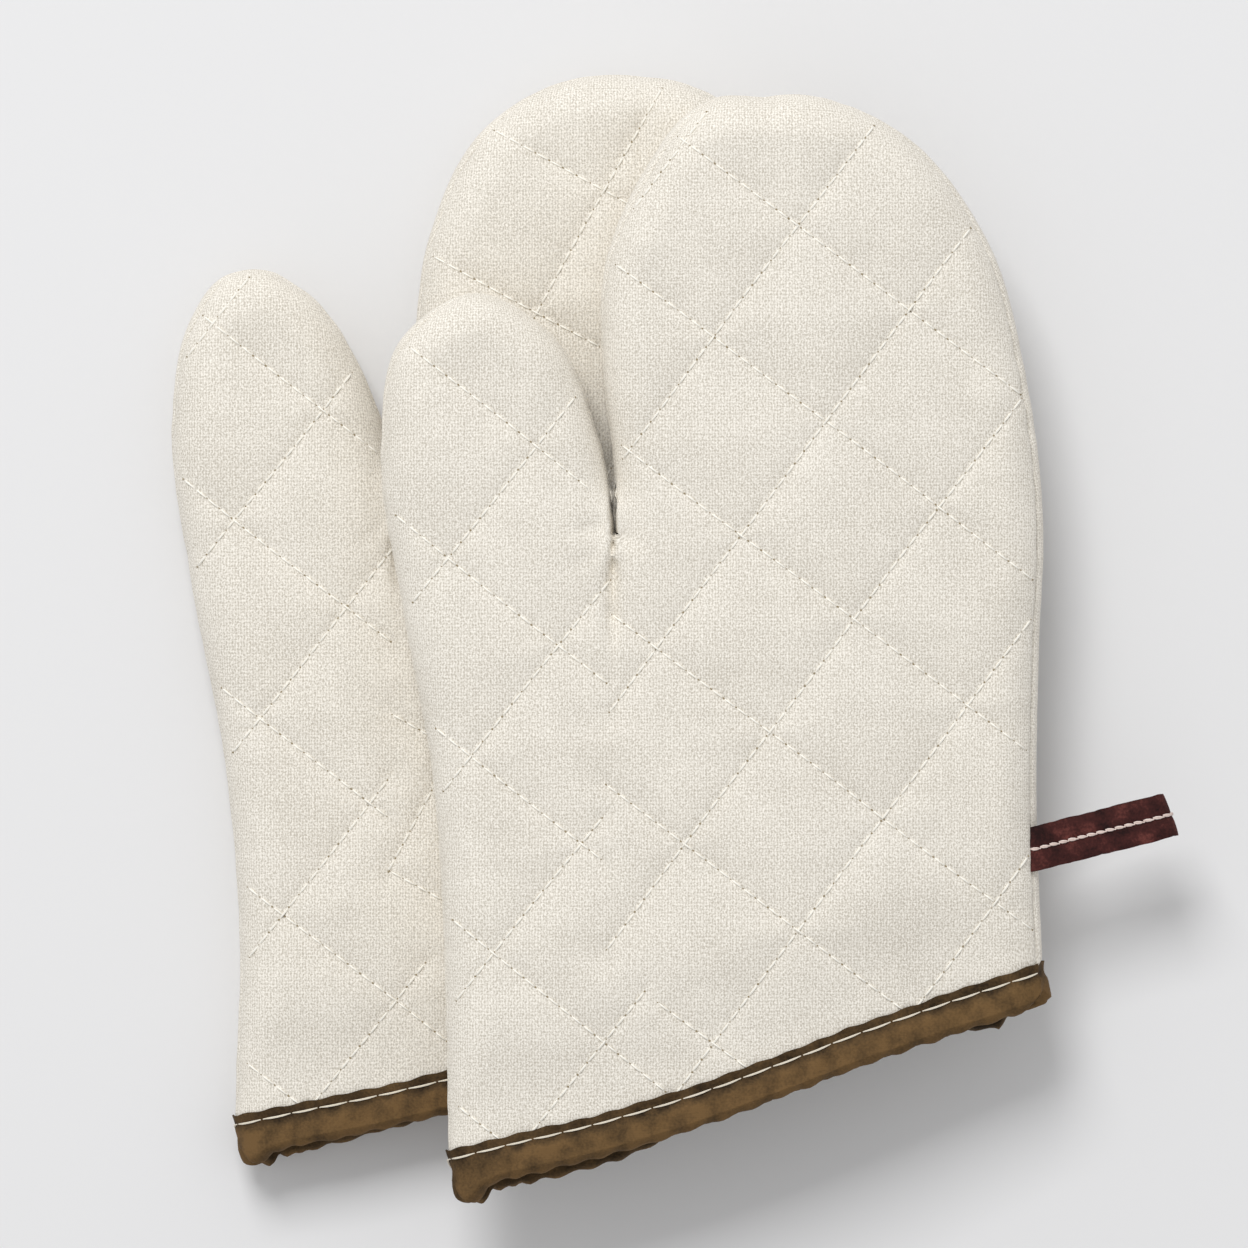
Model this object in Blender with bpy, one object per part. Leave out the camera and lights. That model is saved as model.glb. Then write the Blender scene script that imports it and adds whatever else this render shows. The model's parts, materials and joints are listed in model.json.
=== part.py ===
# A pair of quilted oven mitts lying flat, one on the other.
# The top mitt's fingers point along +Y, its thumb lies towards -X, and +Z points up from the table.
# Each mitt is a front panel and a palm panel, each of outer cloth, batting and lining, with a
# folded tape round the mouth and a hang loop in the right side seam.

import math

import bpy
import bmesh
import numpy as np
from mathutils.geometry import delaunay_2d_cdt

# Overall sizes of one mitt, in metres
MITT_LENGTH = 0.300
MITT_WIDTH = 0.1805
EDGE_RADIUS = 0.012
CAVITY_HEIGHT = 0.0098

# Cloth layers of one panel, and the clearance that separate pieces keep
FACE_THICKNESS = 0.0009
BATTING_THICKNESS = 0.0040
BATTING_AT_CUFF = 0.0014
LINING_THICKNESS = 0.0006
CLEARANCE = 0.0003

# Side seam: height of the cloth's turned rim, where the layers are trimmed, and the shoulder line
RIM_HEIGHT = 0.0006
SEAM_TRIM = 0.0020
SHOULDER = 0.0070
CROTCH_RADIUS = 0.0007

# Quilting: sewn squares, how high each square puffs, and how wide a sewn channel is to each side
QUILT_PITCH = 0.0382
QUILT_PUFF = 0.0022
CHANNEL_REACH = 0.0080
PUFF_FADE = 0.010

# Cuff: the folded tape, how far the band's upper row bows up in the middle, and how far above the
# band the panels swell to their full thickness
BAND_HEIGHT = 0.0125
BAND_BOW = 0.0008
TAPE_THICKNESS = 0.0007
CUFF_SWELL = 0.036

# Hang loop
LOOP_REACH = 0.0342
LOOP_WIDTH = 0.0115
LOOP_OPEN = 0.0070
LOOP_TAPE = 0.0012
LOOP_ROOT_RADIUS = 0.0015
LOOP_SEWN_LENGTH = 0.0060
LOOP_SLOT_RADIUS = 0.0003

# How the pair lies
PAIR_SHIFT_X = 0.0586
PAIR_SHIFT_Y = -0.0068
DROOP = 0.008
FLOOR_CUT = 0.0005

# Mesh steps
OUTLINE_STEP = 0.0130
LINING_STEP = 0.022
EDGE_MARGIN = 0.0030
CUFF_STATIONS = 9
HALF = 0.5
MILLIMETRE = 0.001

# Outlines as shares of the mitt's width and length, measured from the crotch of the thumb. Both
# mitts are cut alike, but each lies pulled into a slightly different shape.
# The thumb side runs up from the cuff, over the thumb and down to the crotch.
TOP_THUMB_SHARES = [(-0.2526, -0.3529), (-0.2692, -0.1991), (-0.3158, -0.0407), (-0.3474, 0.0995),
                    (-0.3158, 0.2009), (-0.2060, 0.2416), (-0.0947, 0.2072), (-0.0211, 0.1131),
                    (-0.0045, 0.0271)]
BOTTOM_THUMB_SHARES = [(-0.2382, -0.3525), (-0.2628, -0.1985), (-0.3131, -0.0404), (-0.3390, 0.0995),
                       (-0.3092, 0.1978), (-0.2692, 0.2338), (-0.2060, 0.2426), (-0.1438, 0.2243),
                       (-0.1040, 0.2015), (-0.0670, 0.1655), (-0.0275, 0.1121), (-0.0045, 0.0271)]
# The hand side runs up from the crotch, over the fingertips and down the right side.
TOP_HAND_SHARES = [(0.0015, 0.0543), (-0.0135, 0.1629), (-0.0090, 0.2697), (0.0541, 0.3575),
                   (0.1083, 0.3991), (0.1579, 0.4192), (0.2256, 0.4212), (0.2752, 0.4235),
                   (0.4406, 0.3846), (0.5624, 0.2923), (0.6280, 0.1586), (0.6505, 0.0181),
                   (0.6445, -0.0625), (0.6384, -0.2353)]
BOTTOM_HAND_SHARES = [(0.0125, 0.0559), (0.0240, 0.1692), (0.0510, 0.2781), (0.1241, 0.3661),
                      (0.2730, 0.4155), (0.3592, 0.4172), (0.4573, 0.4056), (0.5600, 0.3560),
                      (0.6250, 0.2600), (0.6530, 0.1158), (0.6469, -0.0307), (0.6102, -0.2659)]
CUFF_LEFT_SHARE = (-0.2436, -0.5729)
CUFF_RIGHT_SHARE = 0.6451
LOOP_PLACE_SHARE = -0.260
PLATEAU_SHARE = 0.22

# Where the thumb's quilting meets the hand's, as shares of width and length from the crotch
JOIN_SHARES = [(0.0, 0.0), (-0.018, -0.351), (0.065, -0.398), (0.085, -0.50)]

# Each mitt: its outline, how far its cuff rises to the right, how its quilting was cut, and how its
# hang loop lies, with the slant of the loop's far end
TOP_MITT = {
    "name": "top", "thumb_side": TOP_THUMB_SHARES, "hand_side": TOP_HAND_SHARES,
    "cuff_rise_share": 0.1747, "cuff_lift_share": 0.0,
    "thumb_grid_share": (-0.0887, -0.0814), "thumb_grid_angle": 38.5,
    "hand_grid_share": (0.2045, 0.0253), "hand_grid_angle": 36.9,
    "palm_grid_share": (0.1100, -0.0500), "palm_grid_angle": 37.0,
    "loop_swing": 15.4, "loop_tilt": 0.0, "loop_end_slant": 18.6,
}
BOTTOM_MITT = {
    "name": "bottom", "thumb_side": BOTTOM_THUMB_SHARES, "hand_side": BOTTOM_HAND_SHARES,
    "cuff_rise_share": 0.1330, "cuff_lift_share": 0.008,
    "thumb_grid_share": (-0.0767, -0.0652), "thumb_grid_angle": 38.1,
    "hand_grid_share": (0.2165, 0.2054), "hand_grid_angle": 29.0,
    "palm_grid_share": (0.0600, -0.0900), "palm_grid_angle": 38.0,
    "loop_swing": 0.0, "loop_tilt": -10.5, "loop_end_slant": 0.0,
}

# Colours, roughness
CREAM = (0.76, 0.72, 0.64, 1.0)
PADDING = (0.88, 0.87, 0.84, 1.0)
LINING_CREAM = (0.72, 0.68, 0.60, 1.0)
OLIVE = (0.13, 0.085, 0.035, 1.0)
BURGUNDY = (0.045, 0.014, 0.016, 1.0)


def clear_scene():
    for item in list(bpy.data.objects):
        bpy.data.objects.remove(item, do_unlink=True)


def cloth_material(name, colour, roughness):
    material = bpy.data.materials.new(name)
    material.use_nodes = True
    shader = material.node_tree.nodes["Principled BSDF"]
    shader.inputs["Base Color"].default_value = colour
    shader.inputs["Roughness"].default_value = roughness
    shader.inputs["Metallic"].default_value = 0.0
    material.diffuse_color = colour
    return material


# Plane geometry helpers

def smooth_curve(points, step):
    """Points at even steps along a smooth curve through the given points."""
    points = np.array(points)
    chord = np.linalg.norm(np.diff(points, axis=0), axis=1)
    place = np.concatenate([[0.0], np.cumsum(chord)])
    slope = np.gradient(points, place, axis=0)
    fine = []
    for i in range(len(points) - 1):
        for t in np.linspace(0.0, 1.0, 24, endpoint=False):
            t2 = t * t
            t3 = t2 * t
            fine.append((2 * t3 - 3 * t2 + 1) * points[i] + (t3 - 2 * t2 + t) * chord[i] * slope[i]
                        + (3 * t2 - 2 * t3) * points[i + 1] + (t3 - t2) * chord[i] * slope[i + 1])
    fine.append(points[-1])
    fine = np.array(fine)
    length = np.concatenate([[0.0], np.cumsum(np.linalg.norm(np.diff(fine, axis=0), axis=1))])
    count = max(2, round(length[-1] / step))
    even = np.linspace(0.0, length[-1], count + 1)
    return np.stack([np.interp(even, length, fine[:, 0]), np.interp(even, length, fine[:, 1])], axis=1)


def distance_to_path(points, path):
    """Distance from each point to an open path of straight pieces."""
    points = np.atleast_2d(points)
    start = path[:-1]
    run = path[1:] - start
    square = np.maximum((run ** 2).sum(axis=1), (CLEARANCE * MILLIMETRE) ** 2)
    away = points[:, None, :] - start[None]
    along = np.clip((away * run[None]).sum(axis=2) / square[None], 0.0, 1.0)
    gap = away - along[..., None] * run[None]
    return np.sqrt((gap ** 2).sum(axis=2)).min(axis=1)


def distance_to_pieces(points, pieces):
    """Distance from each point to the nearest of a list of straight pieces."""
    points = np.atleast_2d(points)
    if not pieces:
        return np.full(len(points), MITT_LENGTH)
    return np.min([distance_to_path(points, np.array(piece)) for piece in pieces], axis=0)


def inside_polygon(point, polygon):
    x, y = point
    xs, ys = polygon[:, 0], polygon[:, 1]
    xn, yn = np.roll(xs, -1), np.roll(ys, -1)
    crosses = (ys > y) != (yn > y)
    rise = np.where(crosses, yn - ys, 1.0)
    hits = crosses & (x < xs + (xn - xs) * (y - ys) / rise)
    return bool(hits.sum() % 2)


def offset_path(points, distance):
    """The path moved square to itself, to the left of its direction, with mitred corners."""
    points = np.array(points)
    run = np.diff(points, axis=0)
    run = run / np.linalg.norm(run, axis=1)[:, None]
    normal = np.stack([-run[:, 1], run[:, 0]], axis=1)
    before = np.vstack([normal[:1], normal])
    after = np.vstack([normal, normal[-1:]])
    share = 1.0 + (before * after).sum(axis=1)
    return points + distance * (before + after) / share[:, None]


def smoothstep(value):
    value = np.clip(value, 0.0, 1.0)
    return value * value * (3.0 - 2.0 * value)


# The mitt's outline

def cuff_line(mitt, x):
    """The panels' cut edge at the cuff: a straight line that rises to the right."""
    left_x = CUFF_LEFT_SHARE[0] * MITT_WIDTH
    right_x = CUFF_RIGHT_SHARE * MITT_WIDTH
    left_y = (CUFF_LEFT_SHARE[1] + mitt["cuff_lift_share"]) * MITT_LENGTH
    rise = mitt["cuff_rise_share"] * MITT_LENGTH
    return left_y + rise * (x - left_x) / (right_x - left_x)


def side_outline(mitt):
    """The sewn edge from the left end of the cuff, round thumb and hand, to the right end."""
    thumb = [(sx * MITT_WIDTH, sy * MITT_LENGTH) for sx, sy in mitt["thumb_side"]]
    hand = [(sx * MITT_WIDTH, sy * MITT_LENGTH) for sx, sy in mitt["hand_side"]]
    left_x = CUFF_LEFT_SHARE[0] * MITT_WIDTH
    right_x = CUFF_RIGHT_SHARE * MITT_WIDTH
    left_top = (left_x, cuff_line(mitt, left_x) + BAND_HEIGHT)
    right_top = (right_x, cuff_line(mitt, right_x) + BAND_HEIGHT)
    crotch = []
    for i in range(5):
        angle = math.pi * (1.0 + i * 0.25)
        crotch.append((CROTCH_RADIUS * math.cos(angle), CROTCH_RADIUS * math.sin(angle)))
    left = smooth_curve([left_top] + thumb + crotch[:1], OUTLINE_STEP)
    right = smooth_curve(crotch[-1:] + hand + [right_top], OUTLINE_STEP)
    path = np.vstack([[(left_x, cuff_line(mitt, left_x))], left, crotch[1:-1], right,
                      [(right_x, cuff_line(mitt, right_x))]])
    return path


def inset_outline(mitt, path, distance):
    """The outline moved into the cloth. Its ends stay on the cuff's edge and on the band's top."""
    inner = offset_path(path, -distance)
    slope = cuff_line(mitt, 1.0) - cuff_line(mitt, 0.0)
    for i in (0, 1):
        inner[i] = path[i] + np.array([distance, distance * slope])
    for i in (-1, -2):
        inner[i] = path[i] + np.array([-distance, -distance * slope])
    return inner


# Quilting lines

def join_path():
    return np.array([(sx * MITT_WIDTH, sy * MITT_LENGTH) for sx, sy in JOIN_SHARES])


def on_hand_side(point):
    """Whether a point lies on the hand's side of the line where the two quilting cuts meet."""
    if point[1] >= 0.0:
        return point[0] > 0.0
    join = join_path()
    return point[0] > np.interp(-point[1], -join[:, 1], join[:, 0])


def grid_point(anchor, angle, a, b):
    turn = math.radians(angle)
    x = anchor[0] + QUILT_PITCH * (a * math.cos(turn) - b * math.sin(turn))
    y = anchor[1] - QUILT_PITCH * (a * math.sin(turn) + b * math.cos(turn))
    return np.array((x, y))


def clip_piece(start, end, allowed):
    """The part of a straight piece that the test allows, or None."""
    first, last = allowed(start), allowed(end)
    if first and last:
        return (start, end)
    if not first and not last:
        return None
    keep, drop = (start, end) if first else (end, start)
    good, bad = 0.0, 1.0
    for _ in range(12):
        middle = HALF * (good + bad)
        if allowed(keep + middle * (drop - keep)):
            good = middle
        else:
            bad = middle
    if good * QUILT_PITCH * HALF < EDGE_MARGIN:
        return None
    return (keep, keep + good * (drop - keep))


def quilt(anchor_share, angle, allowed, roomy):
    """Sewn pieces of one square grid, and the puffed points inside its squares."""
    anchor = (anchor_share[0] * MITT_WIDTH, anchor_share[1] * MITT_LENGTH)
    count = math.ceil(MITT_LENGTH / QUILT_PITCH)
    pieces = []
    puffed = []
    for i in range(-count, count + 1):
        for j in range(-2 * count, 2 * count):
            low, high = HALF * j, HALF * (j + 1)
            for start, end in (((low, i), (high, i)), ((i, low), (i, high))):
                piece = clip_piece(grid_point(anchor, angle, *start), grid_point(anchor, angle, *end), allowed)
                if piece is not None:
                    pieces.append(piece)
        for j in range(-count, count + 1):
            for a in (PLATEAU_SHARE, 1.0 - PLATEAU_SHARE):
                for b in (PLATEAU_SHARE, 1.0 - PLATEAU_SHARE):
                    point = grid_point(anchor, angle, i + a, j + b)
                    if roomy(point):
                        puffed.append(point)
    return pieces, puffed


def front_quilt(mitt, rim, polygon):
    """The front panel: one grid over the thumb and one over the hand, which meet at the join."""
    pieces = []
    puffed = []
    for is_hand, grid in ((False, "thumb_grid"), (True, "hand_grid")):
        def allowed(point):
            return (on_hand_side(point) == is_hand and inside_polygon(point, polygon)
                    and distance_to_path(point, rim)[0] > EDGE_MARGIN * HALF)

        def roomy(point):
            return allowed(point) and distance_to_path(point, rim)[0] > EDGE_MARGIN

        some, points = quilt(mitt[grid + "_share"], mitt[grid + "_angle"], allowed, roomy)
        pieces += some
        puffed += points
    far = distance_to_pieces(np.array(puffed), pieces)
    return pieces, [point for point, gap in zip(puffed, far) if gap > EDGE_MARGIN]


def palm_quilt(mitt, rim, polygon):
    """The palm panel: one grid all over."""
    def allowed(point):
        return inside_polygon(point, polygon) and distance_to_path(point, rim)[0] > EDGE_MARGIN * HALF

    def roomy(point):
        return allowed(point) and distance_to_path(point, rim)[0] > EDGE_MARGIN

    return quilt(mitt["palm_grid_share"], mitt["palm_grid_angle"], allowed, roomy)


# Plan meshes: one flat triangle net that the layers of a panel share

class Plan:
    """A flat net of triangles with, at each point, its depth from the seam and its puff."""

    def __init__(self, mitt, path, pieces, puffed, from_seam):
        self.mitt = mitt
        trim = inset_outline(mitt, path, SEAM_TRIM)
        shoulder = inset_outline(mitt, path, SHOULDER)
        rings = [(0.0, path), (SEAM_TRIM, trim), (SHOULDER, shoulder)]
        if not from_seam:
            rings = rings[1:]
        self.points = []
        self.depth = []
        self.triangles = []
        ring_ids = []
        for depth, ring in rings:
            ring_ids.append(self.add(ring, depth))
        for outer, inner in zip(ring_ids[:-1], ring_ids[1:]):
            for i in range(len(path) - 1):
                self.triangles.append((outer[i], inner[i], inner[i + 1]))
                self.triangles.append((outer[i], inner[i + 1], outer[i + 1]))
        self.add_cuff(shoulder, ring_ids[-1])
        self.fill(shoulder, pieces, puffed, ring_ids[-1])
        right_ends = [ids[-1] for ids in ring_ids[1:]]
        left_ends = [ids[0] for ids in ring_ids[1:]]
        self.border = ring_ids[0] + right_ends + self.cuff_row[::-1] + left_ends[::-1]
        self.points = np.array(self.points)
        self.depth = np.array(self.depth)
        self.measure(path, shoulder, pieces)

    def add(self, points, depth):
        first = len(self.points)
        for point in points:
            self.points.append((float(point[0]), float(point[1])))
            self.depth.append(depth)
        return list(range(first, len(self.points)))

    def add_cuff(self, shoulder, ids):
        """The band under the cuff tape: two rows of points joined by a strip. The upper row bows
        up a little, so that no triangle of the net above it is flat."""
        xs = np.linspace(shoulder[0][0], shoulder[-1][0], CUFF_STATIONS + 2)[1:-1]
        across = np.linspace(-1.0, 1.0, CUFF_STATIONS + 2)[1:-1]
        low = [(x, cuff_line(self.mitt, x)) for x in xs]
        high = [(x, y + BAND_HEIGHT + BAND_BOW * (1.0 - a * a)) for (x, y), a in zip(low, across)]
        reach = np.minimum(xs - shoulder[0][0], shoulder[-1][0] - xs) + SHOULDER
        self.cuff_row = []
        self.band_row = []
        for i in range(CUFF_STATIONS):
            self.cuff_row += self.add([low[i]], reach[i])
            self.band_row += self.add([high[i]], reach[i])
        lower = [ids[0]] + self.cuff_row + [ids[-1]]
        upper = [ids[1]] + self.band_row + [ids[-2]]
        for i in range(len(lower) - 1):
            self.triangles.append((lower[i], lower[i + 1], upper[i + 1]))
            self.triangles.append((lower[i], upper[i + 1], upper[i]))

    def fill(self, shoulder, pieces, puffed, ids):
        """The inside of the shoulder line, with the sewn pieces as edges of the net."""
        rim = ids[1:-1] + self.band_row[::-1]
        places = [self.points[i] for i in rim]
        edges = [(i, (i + 1) % len(rim)) for i in range(len(rim))]
        seen = {}
        for piece in pieces:
            pair = []
            for point in piece:
                key = (round(point[0] / MILLIMETRE, 2), round(point[1] / MILLIMETRE, 2))
                if key not in seen:
                    seen[key] = len(places)
                    places.append((float(point[0]), float(point[1])))
                pair.append(seen[key])
            if pair[0] != pair[1]:
                edges.append(tuple(pair))
        places += [(float(point[0]), float(point[1])) for point in puffed]
        result = delaunay_2d_cdt(places, edges, [], 0, CLEARANCE * MILLIMETRE)
        new_points, new_faces, origins = result[0], result[2], result[3]
        polygon = np.array([self.points[i] for i in rim])
        chosen = []
        for index, point in enumerate(new_points):
            rim_hits = [i for i in origins[index] if i < len(rim)]
            if rim_hits:
                chosen.append(rim[rim_hits[0]])
            else:
                chosen += self.add([point], SHOULDER)
        for face in new_faces:
            corners = np.array([new_points[i][:] for i in face])
            if inside_polygon(corners.mean(axis=0), polygon):
                self.triangles.append(tuple(chosen[i] for i in face))

    def measure(self, path, shoulder, pieces):
        """Depth from the seam, swell above the cuff and puff of each point."""
        inner = self.depth == SHOULDER
        away = distance_to_path(self.points, shoulder)
        self.depth = np.where(inner, SHOULDER + away, self.depth)
        above = self.points[:, 1] - cuff_line(self.mitt, self.points[:, 0]) - BAND_HEIGHT
        self.swell = smoothstep(above / CUFF_SWELL)
        sewn = distance_to_pieces(self.points, pieces)
        rise = np.sin(np.clip(sewn / CHANNEL_REACH, 0.0, 1.0) * math.pi * HALF)
        edge = smoothstep((self.depth - SEAM_TRIM) / PUFF_FADE)
        self.puff = QUILT_PUFF * rise * edge * self.swell


# Heights of the layers above the seam's plane

def round_over(share):
    share = np.clip(share, 0.0, 1.0)
    return np.sqrt(np.maximum(1.0 - (1.0 - share) ** 2, 0.0))


def layer_heights(plan):
    """Height of each surface of a panel above the seam plane, from the outside in."""
    batting = BATTING_AT_CUFF + (BATTING_THICKNESS - BATTING_AT_CUFF) * plan.swell
    steps = [
        ("face_out", 0.0, RIM_HEIGHT, 1.0),
        ("face_in", FACE_THICKNESS, 0.0, 1.0),
        ("batting_out", FACE_THICKNESS + CLEARANCE, 0.0, 1.0),
        ("batting_in", FACE_THICKNESS + CLEARANCE + batting, LINING_THICKNESS + CLEARANCE, 0.0),
        ("lining_out", FACE_THICKNESS + 2 * CLEARANCE + batting, LINING_THICKNESS, 0.0),
        ("lining_in", FACE_THICKNESS + 2 * CLEARANCE + batting + LINING_THICKNESS, 0.0, 0.0),
    ]
    crown = HALF * CAVITY_HEIGHT + FACE_THICKNESS + 2 * CLEARANCE + batting + LINING_THICKNESS
    heights = {}
    for name, inset, least, puff in steps:
        share = (plan.depth - inset) / (EDGE_RADIUS - inset)
        height = np.maximum((crown - inset) * round_over(share), least)
        heights[name] = height + puff * plan.puff
    return heights


def half_height():
    """Height of a puffed square's top above the seam plane."""
    stack = FACE_THICKNESS + 2 * CLEARANCE + BATTING_THICKNESS + LINING_THICKNESS
    return HALF * CAVITY_HEIGHT + stack + QUILT_PUFF + HALF * CLEARANCE


# Placing

class Lay:
    """Where one mitt lies: its crotch in the plan, the height of its seam plane and its droop."""

    def __init__(self, origin, level, droop_from, droop_to, floor):
        self.origin = origin
        self.level = level
        self.droop_from = droop_from
        self.droop_to = droop_to
        self.floor = floor

    def seam_height(self, x):
        if self.droop_to is None:
            return self.level + 0.0 * np.asarray(x)
        share = (np.asarray(x) - self.droop_from) / (self.droop_to - self.droop_from)
        return self.level - DROOP * smoothstep(share)


def solid(name, material, corners, faces):
    mesh = bpy.data.meshes.new(name)
    shape = bmesh.new()
    verts = [shape.verts.new(corner) for corner in corners]
    for face in faces:
        shape.faces.new([verts[i] for i in face])
    bmesh.ops.triangulate(shape, faces=shape.faces[:])
    bmesh.ops.recalc_face_normals(shape, faces=shape.faces[:])
    if shape.calc_volume(signed=True) < 0.0:
        bmesh.ops.reverse_faces(shape, faces=shape.faces[:])
    shape.to_mesh(mesh)
    shape.free()
    mesh.materials.append(material)
    mesh.shade_smooth()
    mesh.set_sharp_from_angle(angle=math.radians(50.0))
    item = bpy.data.objects.new(name, mesh)
    bpy.context.collection.objects.link(item)
    return item


def layer(name, material, lay, outer, outer_height, inner, inner_height, side):
    """One cloth layer: the space between two surfaces that share their border."""
    corners = []
    for plan, height, cut in ((outer, outer_height, True), (inner, inner_height, False)):
        z = lay.seam_height(plan.points[:, 0]) + side * (HALF * CLEARANCE + height)
        if cut and lay.floor is not None:
            z = np.maximum(z, lay.floor)
        corners += [(x, y, float(level)) for (x, y), level in zip(plan.points, z)]
    first = len(outer.points)
    faces = [tuple(face) for face in outer.triangles]
    faces += [tuple(first + i for i in face[::-1]) for face in inner.triangles]
    count = len(outer.border)
    for i in range(count):
        a, b = outer.border[i], outer.border[(i + 1) % count]
        c, d = first + inner.border[(i + 1) % count], first + inner.border[i]
        faces.append((a, b, c, d))
    item = solid(name, material, corners, faces)
    item.location = (lay.origin[0], lay.origin[1], 0.0)
    return item


def lining_points(rim, polygon):
    """A few inner points, so that the lining and the back of the batting stay smooth."""
    low = polygon.min(axis=0)
    high = polygon.max(axis=0)
    points = []
    for x in np.arange(low[0], high[0], LINING_STEP):
        for y in np.arange(low[1], high[1], LINING_STEP):
            if inside_polygon((x, y), polygon):
                if distance_to_path((x, y), rim)[0] > LINING_STEP * HALF * HALF:
                    points.append((x, y))
    return points


def panel(mitt, lay, path, name, side, materials):
    """Face, batting and lining of one panel."""
    inside = inset_outline(mitt, path, SHOULDER)[1:-1]
    rim = np.vstack([inside, inside[:1]])
    sewn = front_quilt if name == "front" else palm_quilt
    pieces, puffed = sewn(mitt, rim, inside)
    fine_face = Plan(mitt, path, pieces, puffed, True)
    fine_inner = Plan(mitt, path, pieces, puffed, False)
    coarse = Plan(mitt, path, [], lining_points(rim, inside), False)
    face = layer_heights(fine_face)
    fine = layer_heights(fine_inner)
    back = layer_heights(coarse)
    prefix = mitt["name"] + "_" + name
    layer(prefix + "_face", materials["cream"], lay, fine_face, face["face_out"],
          fine_face, face["face_in"], side)
    inner_lay = Lay(lay.origin, lay.level, lay.droop_from, lay.droop_to, None)
    layer(prefix + "_batting", materials["padding"], inner_lay, fine_inner, fine["batting_out"],
          coarse, back["batting_in"], side)
    layer(prefix + "_lining", materials["lining"], inner_lay, coarse, back["lining_out"],
          coarse, back["lining_in"], side)
    return fine_face, face, coarse, back


# Cuff tape

def cuff_profile(plan, heights, lay, name, side):
    """Points of a surface along the cuff's edge, from the right seam to the left, as x and z."""
    ids = [i for i in plan.border if abs(plan.points[i][1] - cuff_line(plan.mitt, plan.points[i][0])) < CLEARANCE]
    ids.sort(key=lambda i: -plan.points[i][0])
    x = plan.points[ids, 0]
    z = lay.seam_height(x) + side * (HALF * CLEARANCE + heights[name][ids])
    return np.stack([x, z], axis=1)


def cuff_binding(mitt, lay, front, palm, materials):
    """A tape folded over the raw edges, from the right seam over the front, round the left side
    and back over the palm. Its outer leg lies on the faces and its inner leg on the linings."""
    outer = np.vstack([cuff_profile(front[0], front[1], lay, "face_out", 1.0),
                       cuff_profile(palm[0], palm[1], lay, "face_out", -1.0)[::-1]])
    # Going from right to left over the front, the outside lies to the right of the path
    outer_in = offset_path(outer, -CLEARANCE)
    outer_out = offset_path(outer, -CLEARANCE - TAPE_THICKNESS)
    left = outer[:, 0].min()
    right = outer[:, 0].max()
    inset = SHOULDER + 2 * TAPE_THICKNESS
    squeeze = 1.0 - 2.0 * inset / (right - left)
    inner_x = left + inset + (outer[:, 0] - left) * squeeze
    half = len(outer) // 2
    ceiling = cuff_profile(front[2], front[3], lay, "lining_in", 1.0)[::-1]
    floor = cuff_profile(palm[2], palm[3], lay, "lining_in", -1.0)[::-1]
    inner_z = np.concatenate([np.interp(inner_x[:half], ceiling[:, 0], ceiling[:, 1]),
                              np.interp(inner_x[half:], floor[:, 0], floor[:, 1])])
    lining = np.stack([inner_x, inner_z], axis=1)
    inner_in = offset_path(lining, CLEARANCE)
    inner_out = offset_path(lining, CLEARANCE + TAPE_THICKNESS)
    top = BAND_HEIGHT - CLEARANCE - TAPE_THICKNESS
    inside = -CLEARANCE
    fold = -CLEARANCE - TAPE_THICKNESS
    rows = [(outer_out, top), (outer_out, fold), (inner_out, fold), (inner_out, top),
            (inner_in, top), (inner_in, inside), (outer_in, inside), (outer_in, top)]
    count = len(outer)
    corners = []
    for points, above in rows:
        corners += [(x, cuff_line(mitt, x) + above, z) for x, z in points]
    faces = []
    for row in range(8):
        after = (row + 1) % 8
        for i in range(count - 1):
            faces.append((row * count + i, row * count + i + 1, after * count + i + 1, after * count + i))
    for i in (0, count - 1):
        for a, b, c, d in ((0, 1, 6, 7), (1, 2, 5, 6), (2, 3, 4, 5)):
            faces.append((a * count + i, b * count + i, c * count + i, d * count + i))
    item = solid(mitt["name"] + "_cuff_binding", materials["olive"], corners, faces)
    item.location = (lay.origin[0], lay.origin[1], 0.0)


# Hang loop

def round_ended(start, start_radius, end, end_radius, steps):
    """Outline of two circles and the straight sides that touch both, as distance out and height."""
    lean = math.asin((end_radius - start_radius) / (end - start))
    points = []
    for i in range(steps + 1):
        angle = math.pi * HALF + lean + (math.pi - 2 * lean) * i / steps
        points.append((start + start_radius * math.cos(angle), start_radius * math.sin(angle)))
    for i in range(steps + 1):
        angle = -math.pi * HALF - lean + (math.pi + 2 * lean) * i / steps
        points.append((end + end_radius * math.cos(angle), end_radius * math.sin(angle)))
    return points


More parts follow.
